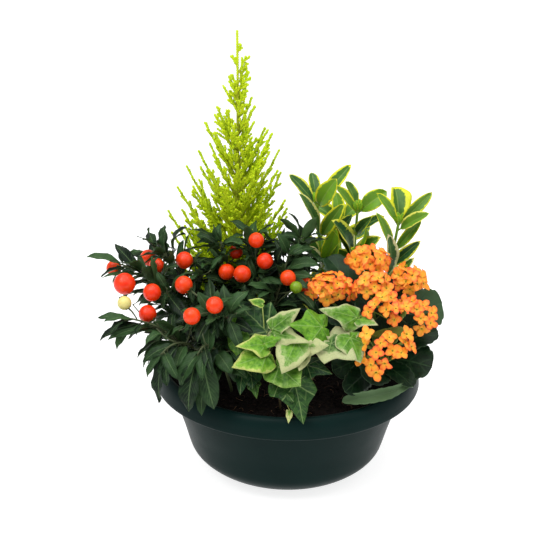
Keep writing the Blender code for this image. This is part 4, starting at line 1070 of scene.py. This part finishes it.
def kalanchoe(leaf, stem):
    """Thick stem, broad scalloped leaves and the bare stalks of the flower heads."""
    draw = random.Random(120)
    skin, line = new_shoot(KALANCHOE_STEM, KALANCHOE_STEM_RADIUS, 0.7, 1, 12, 16)
    for share, tip, width, light, pale in KALANCHOE_LEAVES:
        foot, tip = point_on(line, share), Vector(tip)
        leaf_with_stalk(
            skin, foot, tip, width, scalloped, draw, rows=54, cols=10,
            arch=draw.uniform(0.06, 0.14), fold=draw.uniform(0.05, 0.30), wave=width * 0.03,
            twist=draw.uniform(-0.2, 0.2), thickness=KALANCHOE_BLADE, thick=0.0016,
            nature=(light, pale, 0.0), facing=facing_of(foot, tip, 0.6, KALANCHOE_LEAN),
        )
    base, tip, width = CUPPED_LEAF
    blade(skin, Vector(base), Vector(tip), width, scalloped, rows=54, cols=12, arch=-0.16,
          fold=1.05, thickness=KALANCHOE_BLADE, nature=(0.25, 0.0, 1.0),
          facing=UP + FRONT * 0.25)
    base, tip, width = PALE_LEAF
    base, tip = Vector(base), Vector(tip)
    blade(skin, base, tip, width, scalloped, rows=42, cols=10, arch=0.16, fold=0.75, wave=0.0012,
          thickness=KALANCHOE_BLADE, nature=(0.5, 1.0, 0.0), facing=FRONT + UP * 0.15, twist=0.5)
    foot = point_on(line, 0.3)
    line_out = interpolate_bezier(foot, foot.lerp(base, 0.5) + UP * 0.012, base + UP * 0.006, base,
                                  8)
    stalk(skin, line_out, 0.0020, 0.0016, 1, 8)
    for number, share in enumerate(HEAD_STALKS, 1):
        foot = point_on(line, share)
        low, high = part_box(f"kalanchoe_head_{number}")
        centre = (low + high) / 2.0
        outward = Vector((centre.x - foot.x, centre.y - foot.y, 0.0))
        start = centre - outward * 0.35 - UP * (0.6 * (centre.z - foot.z))
        end = Vector((centre.x, centre.y, low.z + 0.002))
        line_out = interpolate_bezier(foot, foot.lerp(start, 0.7), start, end, 12)
        stalk(skin, line_out, 0.0017, 0.0012, 1, 8)
    skin.piece("kalanchoe_leaves", [leaf, stem], "kalanchoe_leaf", "kalanchoe_plant")


def flower(skin, place, way, size, turn, draw):
    """Four broad pointed petals on a thin tube, opening flat, with a small dark eye."""
    side, up = across_frame(way)
    tube(skin, [place - way * size * 0.75, place - way * size * 0.3, place],
         [size * 0.07, size * 0.10, size * 0.08], 1, 6)
    nature = (draw.random(), 0.0, 0.0)
    for petal in range(4):
        spread = around(side, up, turn + math.tau * petal / 4 + draw.uniform(-0.10, 0.10))
        lift = draw.uniform(-0.10, 0.45)
        tip = place + (spread + way * lift).normalized() * size * draw.uniform(0.47, 0.55)
        blade(skin, place - way * size * 0.01, tip, size * draw.uniform(0.37, 0.45),
              petal_shape, rows=8, cols=4, arch=draw.uniform(0.02, 0.12), fold=0.22,
              thickness=0.0002, nature=nature, facing=way, wave=size * 0.012)
    tube(skin, [place, place + way * size * 0.05], [size * 0.055, size * 0.035], 2, 6)


def bud(skin, place, way, size, finish):
    """A slim closed flower."""
    points = [place + way * size * share for share in (0.0, 0.25, 0.6, 0.85, 1.0)]
    tube(skin, points, [size * share for share in (0.10, 0.20, 0.20, 0.12, 0.02)], finish, 6)


def flower_places(number, low, high, draw):
    """Where the flowers of a head sit, and which way each one faces."""
    centre = (low + high) / 2.0
    radii = (high - low) / 2.0
    places = []
    if number in LOOSE_FLOWERS:
        for spot in LOOSE_FLOWERS[number]:
            place = Vector(spot)
            places.append((place, (place - centre).normalized() * 0.8 + UP * 0.5 + FRONT * 0.7))
        return places
    area = math.tau * radii.x * (radii.y + radii.z)
    count = round(area * FLOWERS_PER_SQUARE_METRE)
    for index in range(count):
        height = 1.0 - 1.35 * (index + 0.5) / count
        ring = math.sqrt(max(0.0, 1.0 - height * height))
        unit = heading(GOLDEN_ANGLE * index + number) * ring + UP * height
        reach = Vector((radii.x, radii.y, radii.z * 1.1)) * draw.uniform(0.74, 1.04)
        place = centre + Vector([share * size for share, size in zip(unit, reach)])
        places.append((place, unit + UP * 0.35 + FRONT * 0.35))
    return places


def flower_heads(petal, green, eye):
    """Small flowers packed over the upper side of each head, on stalks from its foot."""
    for number in range(1, len(HEAD_STALKS) + 1):
        draw = random.Random(300 + number)
        node = f"kalanchoe_head_{number}"
        low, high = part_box(node)
        centre = (low + high) / 2.0
        skin = Skin()
        root = Vector((centre.x, centre.y, low.z + 0.001))
        for index, (place, way) in enumerate(flower_places(number, low, high, draw)):
            way = (way + Vector([draw.uniform(-0.5, 0.5) for _ in range(3)])).normalized()
            size = draw.uniform(*FLOWER_SIZES)
            bend = place - way * size * 1.1
            end = place - way * size * 0.6
            line = interpolate_bezier(root, root.lerp(bend, 0.5), bend, end, 6)
            stalk(skin, line, 0.0007, 0.0005, 1, 5)
            flower(skin, place, way, size, draw.uniform(0, math.tau), draw)
            if index % 3 == 2:
                bud(skin, line[3], (way + UP * 0.5).normalized(), size * 0.55, index // 3 % 2)
        skin.piece(f"kalanchoe_flowers_{number}", [petal, green, eye], "kalanchoe_flower", node)


# Cypress


def beaded(skin, points, thick, age):
    """A twig covered with scale leaves: a row of little beads along a line, to a blunt tip."""
    length = sum((after - here).length for here, after in zip(points, points[1:]))
    beads = max(2, round(length / CYPRESS_BEAD_LENGTH))
    line = []
    radii = []
    for bead in range(beads):
        line += [point_on(points, bead / beads), point_on(points, (bead + 0.62) / beads)]
        radii += [thick * 0.62, thick]
    line.append(points[-1])
    radii.append(thick * 0.40)
    tube(skin, line, radii, 0, 4, (age, 0.0, 0.0))


def side_twig(skin, place, way, flat, length, draw, age):
    """A side twig with short beaded ones left and right of it."""
    beaded(skin, [place, place + way * length], CYPRESS_BEAD, age)
    count = max(0, round(length / CYPRESS_TWIGLET_GAP) - 1)
    for index in range(count):
        share = 0.22 + 0.62 * index / count
        hand = 1.0 if index % 2 else -1.0
        out = (way + flat * hand * draw.uniform(0.45, 0.70)
               + UP * draw.uniform(0.0, 0.35)).normalized()
        reach = (0.0042 + length * 0.16) * (1.0 - 0.5 * share) * draw.uniform(0.8, 1.2)
        here = place + way * (length * share)
        beaded(skin, [here, here + out * reach], CYPRESS_BEAD * 0.92, min(1.0, age + 0.1))


def cypress_branch(skin, foot, tip, draw):
    """A feathery spray that leaves the leader outwards and bends up to its tip."""
    length = (tip - foot).length
    ahead = (tip - foot).normalized()
    side, up = across_frame(ahead)
    flat = around(side, up, draw.uniform(-0.7, 0.7))
    line = curve(foot, foot.lerp(tip, 0.45) - UP * length * 0.06, tip, 9)
    stalk(skin, line[:7], 0.0006 + length * 0.006, 0.0007, 1, 5)
    beaded(skin, line[3:], CYPRESS_BEAD * 1.05, 1.0)
    count = max(1, round(length * 0.86 / CYPRESS_TWIG_GAP))
    for index in range(count):
        share = 0.14 + 0.82 * (index + 0.5) / count
        place = point_on(line, share)
        onward = (point_on(line, min(1.0, share + 0.1)) - place).normalized()
        hand = 1.0 if index % 2 else -1.0
        out = (onward * draw.uniform(1.1, 1.4) + flat * hand * draw.uniform(0.45, 0.75)
               + up * draw.uniform(-0.30, 0.30)).normalized()
        reach = length * 0.30 * (1.02 - share) + min(length * 0.3, draw.uniform(0.0045, 0.0070))
        side_twig(skin, place, out, flat, reach, draw, min(1.0, 0.5 + 0.6 * share))


def cypress_spread(height):
    """How far the cypress spreads at each height: slender above, a full cone below."""
    below = CYPRESS_TIP[2] - height
    for (start, first), (end, second) in zip(CYPRESS_SPREAD, CYPRESS_SPREAD[1:]):
        if below <= end:
            return first + (second - first) * (below - start) / (end - start)
    return CYPRESS_SPREAD[-1][1]


def cypress(foliage, bark):
    """The leader and its sprays, thick below and sparse near the top."""
    draw = random.Random(5)
    root = in_soil(*CYPRESS_ROOT)
    top = Vector(CYPRESS_TIP)
    line = []
    for share in taper(0.0, 1.0, CYPRESS_LINE_POINTS):
        sway = Vector((math.sin(share * 9.0) * 0.0015, math.cos(share * 7.0) * 0.0012, 0.0))
        line.append(root.lerp(top, share) + sway * (1.0 - share))
    parts = [Skin() for _ in range(3)]
    stalk(parts[0], line, 0.0040, 0.0005, 1, 10)
    beaded(parts[2], line[-12:], CYPRESS_BEAD * 1.1, 0.7)
    tips = [Vector(tip) for tip in CYPRESS_OUTLINE]
    low, high = CYPRESS_INNER_TIPS
    for index in range(CYPRESS_INNER):
        share = (index + 0.5) / CYPRESS_INNER
        height = low + (high - low) * share ** 1.6
        angle = GOLDEN_ANGLE * index
        full = 0.50 + 0.50 * abs(math.sin(angle * 0.5)) if index % 3 else 0.45
        spread = cypress_spread(height) * full * draw.uniform(0.85, 1.05)
        here = point_on(line, (height - root.z) / (top.z - root.z))
        tips.append(Vector((here.x, here.y, height)) + heading(angle) * spread)
    for tip in tips:
        here = point_on(line, (tip.z - root.z) / (top.z - root.z))
        spread = math.hypot(tip.x - here.x, tip.y - here.y)
        drop = spread * CYPRESS_STEEPNESS * draw.uniform(0.95, 1.2) + 0.004
        foot_height = max(CYPRESS_LOWEST, tip.z - drop)
        foot = point_on(line, (foot_height - root.z) / (top.z - root.z))
        level = sum(tip.z >= end for end in CYPRESS_LEVELS)
        cypress_branch(parts[level], foot, tip, draw)
    for level, name in enumerate(("lower", "middle", "upper")):
        nodes = [f"cypress_bough_{level * 3 + number}" for number in (1, 2, 3)]
        if level == 0:
            nodes.insert(0, "cypress_leader")
        parts[level].piece(f"cypress_{name}", [foliage, bark], "cypress_foliage", *nodes)


# Materials


class Paint:
    """Short calls for building one material's nodes."""

    def __init__(self, name, roughness=0.5, gloss=0.3):
        self.material = bpy.data.materials.new(name)
        self.material.use_nodes = True
        self.tree = self.material.node_tree
        self.shader = self.tree.nodes["Principled BSDF"]
        self.shader.inputs["Roughness"].default_value = roughness
        self.shader.inputs["Specular IOR Level"].default_value = gloss

    def node(self, kind, **inputs):
        made = self.tree.nodes.new(kind)
        for title, value in inputs.items():
            self.feed(made.inputs[title], value)
        return made

    def feed(self, socket, value):
        if isinstance(value, bpy.types.NodeSocket):
            self.tree.links.new(value, socket)
        else:
            socket.default_value = value

    def sum(self, operation, first, second=0.0, third=0.0, clamp=False):
        made = self.tree.nodes.new("ShaderNodeMath")
        made.operation = operation
        made.use_clamp = clamp
        for socket, value in zip(made.inputs, (first, second, third)):
            self.feed(socket, value)
        return made.outputs[0]

    def times(self, first, second):
        return self.sum("MULTIPLY", first, second)

    def scaled(self, value, factor, start, clamp=False):
        """The value times the factor, plus the start."""
        return self.sum("MULTIPLY_ADD", value, factor, start, clamp)

    def larger(self, first, second):
        return self.sum("MAXIMUM", first, second)

    def size(self, value):
        return self.sum("ABSOLUTE", value)

    def inverse(self, value):
        return self.sum("SUBTRACT", 1.0, value)

    def split(self, attribute):
        made = self.tree.nodes.new("ShaderNodeAttribute")
        made.attribute_name = attribute
        parts = self.node("ShaderNodeSeparateXYZ", Vector=made.outputs["Vector"])
        return parts.outputs["X"], parts.outputs["Y"], parts.outputs["Z"]

    def noise(self, scale, detail=3.0, rough=0.55):
        made = self.node("ShaderNodeTexNoise", Scale=scale, Detail=detail, Roughness=rough)
        self.feed(made.inputs["Vector"], self.node("ShaderNodeTexCoord").outputs["Object"])
        return made.outputs["Fac"]

    def between(self, value, low, high):
        """0 below one value, 1 above the other, smooth between."""
        made = self.node("ShaderNodeMapRange")
        made.interpolation_type = "SMOOTHSTEP"
        for socket, number in zip(made.inputs, (value, low, high, 0.0, 1.0)):
            self.feed(socket, number)
        return made.outputs[0]

    def mix(self, share, first, second):
        made = self.tree.nodes.new("ShaderNodeMix")
        made.data_type = "RGBA"
        self.feed(made.inputs["Factor"], share)
        self.feed(made.inputs["A"], colour(first))
        self.feed(made.inputs["B"], colour(second))
        return made.outputs["Result"]

    def bump(self, height, strength=0.3, distance=0.001):
        made = self.node("ShaderNodeBump", Height=height, Strength=strength, Distance=distance)
        self.feed(self.shader.inputs["Normal"], made.outputs["Normal"])

    def base(self, value):
        self.feed(self.shader.inputs["Base Color"], colour(value))

    def soft(self, weight, radius):
        """Let some light pass through, as flesh and thin leaves do."""
        self.shader.inputs["Subsurface Weight"].default_value = weight
        self.shader.inputs["Subsurface Radius"].default_value = radius


def colour(value):
    return (*value, 1.0) if isinstance(value, tuple) and len(value) == 3 else value


def srgb(red, green, blue):
    """A colour as seen on screen, 0 to 255, in the linear values that shaders use."""
    linear = []
    for part in (red, green, blue):
        part /= 255.0
        linear.append(part / 12.92 if part <= 0.04045 else ((part + 0.055) / 1.055) ** 2.4)
    return tuple(linear)


def bowl_plastic():
    """Dark green moulded plastic with a fine grain."""
    paint = Paint("bowl_plastic", 0.36, 0.05)
    cloud = paint.noise(26.0, 4.0)
    paint.base(paint.mix(cloud, srgb(8, 26, 25), srgb(14, 35, 33)))
    paint.feed(paint.shader.inputs["Roughness"], paint.scaled(paint.noise(60.0, 5.0), 0.16, 0.30))
    paint.bump(paint.noise(1400.0, 2.0), 0.12, 0.0004)
    return paint.material


def soil_paint():
    paint = Paint("soil", 0.95, 0.1)
    clods = paint.noise(380.0, 6.0, 0.7)
    paint.base(paint.mix(paint.between(clods, 0.35, 0.80), srgb(9, 7, 8), srgb(40, 31, 26)))
    paint.bump(paint.noise(900.0, 5.0, 0.7), 0.8, 0.002)
    return paint.material


def fibre_paint():
    paint = Paint("root_fibre", 0.8)
    tone, _, _ = paint.split("nature")
    paint.base(paint.mix(tone, srgb(48, 34, 26), srgb(118, 88, 62)))
    return paint.material


def veined_leaf(name, dark, light, vein, under, gloss, vein_width, side_veins, rim=0.0):
    """Leaf with a paler midrib, slanting side veins, a paler underside and blotchy green.

    vein_width: the midrib's, as a share of the leaf's; side_veins: how many on each side; rim: how
    much of the underside's colour the leaf's edge has.
    """
    paint = Paint(name, 0.40, gloss)
    across, along, top = paint.split("place")
    tone, pale, olive = paint.split("nature")
    off = paint.size(across)
    under = paint.mix(olive, under, srgb(112, 116, 44))
    blotch = paint.noise(160.0, 4.0)
    shade = paint.scaled(tone, 0.7, paint.scaled(blotch, 0.8, -0.42), clamp=True)
    green = paint.mix(shade, dark, light)
    midrib = paint.inverse(paint.between(off, vein_width, vein_width * 2.6))
    slant = paint.scaled(off, -0.28, along)
    ladder = paint.sum("PINGPONG", paint.times(slant, side_veins), 0.5)
    veins = paint.inverse(paint.between(ladder, 0.03, 0.13))
    veins = paint.times(veins, paint.scaled(off, -0.45, 0.5))
    lines = paint.larger(midrib, veins)
    face = paint.mix(paint.times(lines, 0.55), green, vein)
    edge = paint.times(paint.between(off, 0.86, 1.0), rim)
    face = paint.mix(edge, face, under)
    face = paint.mix(pale, face, under)
    paint.base(paint.mix(top, under, face))
    paint.bump(paint.scaled(blotch, 0.4, paint.times(lines, -0.6)), 0.5,
               0.0008)
    return paint.material


def stem_paint(name, dark, light, roughness=0.6):
    paint = Paint(name, roughness)
    paint.base(paint.mix(paint.noise(220.0, 4.0), dark, light))
    paint.bump(paint.noise(700.0, 3.0), 0.3, 0.0006)
    return paint.material


def euonymus_paint():
    """Green middle, broken margin, paler underside. Each leaf's own nature sets all three."""
    paint = Paint("euonymus_leaf", 0.36, 0.22)
    across, along, top = paint.split("place")
    light, breadth, cream = paint.split("nature")
    off = paint.size(across)
    rim = paint.larger(off, paint.sum("POWER", along, 7.0))
    broken = paint.noise(230.0, 4.0)
    edge = paint.scaled(broken, 0.55, rim)
    start = paint.scaled(breadth, -0.42, 1.18)
    margin = paint.between(paint.sum("SUBTRACT", edge, start), -0.04, 0.04)
    cloud = paint.noise(120.0, 4.0)
    shade = paint.sum("ADD", light, paint.scaled(cloud, 0.5, -0.25), clamp=True)
    green = paint.mix(shade, srgb(38, 80, 46), srgb(124, 174, 36))
    streak = paint.between(paint.noise(330.0, 2.0), 0.52, 0.66)
    green = paint.mix(paint.times(streak, 0.25), green, srgb(96, 128, 64))
    spine = paint.inverse(paint.between(off, 0.03, 0.09))
    green = paint.mix(paint.times(spine, 0.40), green, srgb(150, 178, 84))
    pale = paint.mix(cream, srgb(212, 214, 44), srgb(206, 202, 148))
    face = paint.mix(margin, green, pale)
    under_green = paint.mix(shade, srgb(88, 116, 32), srgb(126, 172, 34))
    under = paint.mix(paint.times(margin, 0.8), under_green, pale)
    paint.base(paint.mix(top, under, face))
    paint.bump(paint.scaled(cloud, 0.3, paint.times(spine, -0.6)), 0.4,
               0.0008)
    return paint.material


def ivy_paint():
    """Green middle with pale veins, and a cream margin as wide as the leaf's own nature says."""
    paint = Paint("ivy_leaf", 0.42, 0.15)
    across, forward, share = paint.split("place")
    cream, dark, yellow = paint.split("nature")
    drift = paint.scaled(paint.noise(190.0, 2.0), 0.08, -0.04)
    side = paint.size(paint.sum("ADD", across, drift))
    nearest = None
    for degrees in (0.0, 60.0, 128.0):
        angle = math.radians(degrees)
        gap = paint.size(paint.sum("SUBTRACT", paint.times(side, math.cos(angle)),
                                   paint.times(forward, math.sin(angle))))
        reach = paint.sum("ADD", paint.times(side, math.sin(angle)),
                          paint.times(forward, math.cos(angle)))
        gap = paint.sum("ADD", gap, paint.times(paint.sum("LESS_THAN", reach, 0.0), 9.0))
        nearest = gap if nearest is None else paint.sum("MINIMUM", nearest, gap)
    vein = paint.inverse(paint.between(nearest, 0.006, 0.026))
    ladder = paint.sum("PINGPONG", paint.times(paint.scaled(nearest, -0.9, forward), 5.0), 0.5)
    branches = paint.inverse(paint.between(ladder, 0.02, 0.09))
    vein = paint.larger(vein, paint.times(branches, 0.35))
    patch = paint.noise(150.0, 3.0)
    edge = paint.scaled(patch, 0.60, share)
    start = paint.scaled(cream, -1.0, 1.64)
    margin = paint.between(paint.sum("SUBTRACT", edge, start), -0.04, 0.04)
    cloud = paint.noise(260.0, 4.0)
    bright = paint.mix(paint.between(cloud, 0.35, 0.65), srgb(72, 122, 28), srgb(108, 156, 44))
    deep = paint.mix(paint.between(cloud, 0.35, 0.65), srgb(18, 44, 26), srgb(36, 70, 34))
    green = paint.mix(dark, bright, deep)
    green = paint.mix(paint.times(vein, 0.42), green, srgb(142, 166, 104))
    near = paint.between(paint.sum("SUBTRACT", edge, start), -0.34, 0.02)
    dusty = paint.mix(yellow, srgb(142, 164, 108), srgb(150, 188, 66))
    mottle = paint.between(paint.noise(420.0, 3.0), 0.42, 0.60)
    green = paint.mix(paint.times(near, paint.scaled(mottle, 0.5, 0.35)),
                      green, dusty)
    pale = paint.mix(yellow, srgb(168, 172, 130), srgb(188, 196, 104))
    speck = paint.between(paint.noise(620.0, 3.0), 0.50, 0.68)
    pale = paint.mix(paint.times(speck, 0.55), pale, srgb(134, 158, 98))
    paint.base(paint.mix(margin, green, pale))
    paint.bump(paint.scaled(cloud, 0.3, paint.times(vein, -0.5)), 0.45,
               0.0008)
    return paint.material


def petal_paint():
    """Yellow throat, orange middle, salmon edge."""
    paint = Paint("kalanchoe_petal", 0.5)
    across, along, _ = paint.split("place")
    tone, _, _ = paint.split("nature")
    cloud = paint.noise(420.0, 3.0)
    orange = paint.mix(paint.scaled(cloud, 0.5, paint.times(tone, 0.55),
                                 clamp=True), srgb(250, 174, 46), srgb(250, 146, 44))
    rim = paint.between(paint.larger(paint.size(across), along), 0.45, 0.98)
    blush = paint.mix(paint.times(rim, paint.scaled(tone, 0.65, 0.35)),
                      orange, srgb(240, 84, 48))
    throat = paint.inverse(paint.between(along, 0.06, 0.34))
    paint.base(paint.mix(throat, blush, srgb(226, 190, 56)))
    paint.soft(0.12, (0.002, 0.001, 0.0005))
    return paint.material


def berry_paint(name, deep, bright, mottle):
    """Glossy skin that is cloudy, a little speckled, and paler round the stalk."""
    paint = Paint(name, 0.34, 0.28)
    _, pole, _ = paint.split("place")
    tone, _, _ = paint.split("nature")
    cloud = paint.noise(150.0, 3.0)
    blend = paint.scaled(tone, 0.45, paint.scaled(cloud, 0.8, -0.25),
                      clamp=True)
    skin = paint.mix(blend, deep, bright)
    speck = paint.between(paint.noise(900.0, 2.0), 0.66, 0.74)
    skin = paint.mix(paint.times(speck, 0.25), skin, mottle)
    near_stalk = paint.between(pole, 0.86, 1.0)
    paint.base(paint.mix(paint.times(near_stalk, 0.6), skin, mottle))
    paint.bump(paint.noise(500.0, 3.0), 0.05, 0.0006)
    paint.soft(0.06, (0.004, 0.001, 0.0005))
    paint.shader.inputs["Coat Weight"].default_value = 0.12
    paint.shader.inputs["Coat Roughness"].default_value = 0.25
    return paint.material


def cypress_paint():
    """Yellow-green scales, greener towards the tips of the sprays."""
    paint = Paint("cypress_foliage", 0.55, 0.12)
    age, _, _ = paint.split("nature")
    cloud = paint.noise(90.0, 3.0)
    blend = paint.scaled(cloud, 0.9, paint.scaled(age, 0.7, -0.55),
                      clamp=True)
    paint.base(paint.mix(blend, srgb(214, 226, 40), srgb(166, 200, 22)))
    paint.bump(paint.noise(1500.0, 2.0), 0.3, 0.0005)
    paint.soft(0.15, (0.002, 0.002, 0.0004))
    return paint.material


def plain_green(name, green, roughness=0.5):
    """One green with darker patches."""
    return stem_paint(name, tuple(part * 0.75 for part in green), green, roughness)


# Stage


FLOOR_REACH = 30.0
FLOOR_GREY = (0.45, 0.45, 0.45, 1.0)
FLOOR_GLOW = 0.80
WHITE = (1.0, 1.0, 1.0, 1.0)
SKY_STRENGTH = 0.45
# Each lamp's name, place, size and power in watts
LAMPS = [
    ("overhead", (-0.1, -0.2, 2.4), 3.0, 62.0), ("key", (-1.1, -1.0, 1.9), 1.2, 18.0),
    ("fill", (1.5, -0.6, 1.1), 1.4, 6.0),
]
LAMP_TARGET = Vector((0.0, 0.0, 0.16))


def stage():
    """Pale floor, and soft light from all round, from a broad lamp above and from both sides."""
    floor_mesh = bpy.data.meshes.new("floor")
    corners = [Vector((x, y, 0)) * FLOOR_REACH for x, y in ((-1, -1), (1, -1), (1, 1), (-1, 1))]
    floor_mesh.from_pydata(corners, [], [(0, 1, 2, 3)])
    paper = Paint("floor", 0.9, 0.0)
    paper.base(FLOOR_GREY)
    paper.shader.inputs["Emission Color"].default_value = WHITE
    paper.shader.inputs["Emission Strength"].default_value = FLOOR_GLOW
    floor_mesh.materials.append(paper.material)
    put("floor", floor_mesh)
    world = bpy.data.worlds.new("studio")
    world.use_nodes = True
    sky = world.node_tree.nodes["Background"].inputs
    sky["Color"].default_value = WHITE
    sky["Strength"].default_value = SKY_STRENGTH
    bpy.context.scene.world = world
    for name, place, size, power in LAMPS:
        light = bpy.data.lights.new(name, "AREA")
        light.size = size
        light.energy = power
        lamp = put(name, light)
        lamp.location = place
        lamp.rotation_euler = (LAMP_TARGET - Vector(place)).to_track_quat("-Z", "Y").to_euler()
    bpy.context.scene.view_settings.view_transform = "Standard"


EYE = (0.0, -1.3365, 0.771)
PITCH, YAW, ROLL = 22.9, 0.54, 0.86      # degrees: down, to the left, clockwise
LENS, SENSOR = 93.9, 36.0                # millimetres


def camera():
    """The camera at the photograph's angle, turned a little about its own axis."""
    pitch, yaw, roll = (math.radians(angle) for angle in (PITCH, YAW, ROLL))
    ahead = Vector((-math.sin(yaw) * math.cos(pitch), math.cos(yaw) * math.cos(pitch),
                    -math.sin(pitch)))
    right = ahead.cross(UP).normalized()
    above = right.cross(ahead)
    across = right * math.cos(roll) + above * math.sin(roll)
    upright = above * math.cos(roll) - right * math.sin(roll)
    eye = bpy.data.cameras.new("camera")
    eye.lens = LENS
    eye.sensor_width = SENSOR
    holder = put("camera", eye)
    turn = Matrix((across, upright, -ahead)).transposed().to_4x4()
    holder.matrix_world = Matrix.Translation(EYE) @ turn
    bpy.context.scene.camera = holder


def build():
    """Everything in the scene, plant by plant."""
    stage()
    camera()
    bowl(bowl_plastic())
    soil(soil_paint(), fibre_paint())
    bark = stem_paint("cypress_bark", srgb(150, 150, 44), srgb(184, 194, 48), 0.8)
    cypress(cypress_paint(), bark)
    cherry_green = veined_leaf(
        "cherry_leaf", srgb(10, 24, 16), srgb(60, 92, 50), srgb(98, 124, 80), srgb(58, 82, 46),
        gloss=0.12, vein_width=0.035, side_veins=11.0)
    lines = cherry(cherry_green, stem_paint("cherry_stem", srgb(52, 58, 40), srgb(84, 96, 58)))
    skins = {
        "red": berry_paint("berry_red", srgb(222, 36, 2), srgb(250, 84, 14), srgb(252, 130, 50)),
        "pale": berry_paint("berry_pale", srgb(206, 190, 104), srgb(232, 222, 150),
                            srgb(196, 200, 110)),
        "green": berry_paint("berry_green", srgb(96, 130, 10), srgb(140, 170, 30),
                             srgb(170, 190, 80)),
    }
    berries(lines, skins, plain_green("calyx", srgb(88, 108, 60)))
    ivy(ivy_paint(), stem_paint("ivy_stalk", srgb(130, 146, 70), srgb(170, 180, 100)),
        stem_paint("ivy_vine", srgb(62, 54, 36), srgb(104, 92, 60)))
    euonymus(euonymus_paint(), plain_green("euonymus_stem", srgb(126, 164, 48), 0.45))
    kalanchoe_green = veined_leaf(
        "kalanchoe_leaf", srgb(6, 30, 12), srgb(50, 80, 48), srgb(52, 78, 46), srgb(82, 106, 72),
        gloss=0.16, vein_width=0.02, side_veins=5.0, rim=0.25)
    kalanchoe(kalanchoe_green, plain_green("kalanchoe_stem", srgb(92, 120, 50), 0.45))
    flower_heads(petal_paint(), plain_green("flower_stalk", srgb(112, 132, 44)),
                 plain_green("flower_eye", srgb(134, 122, 38)))


build()
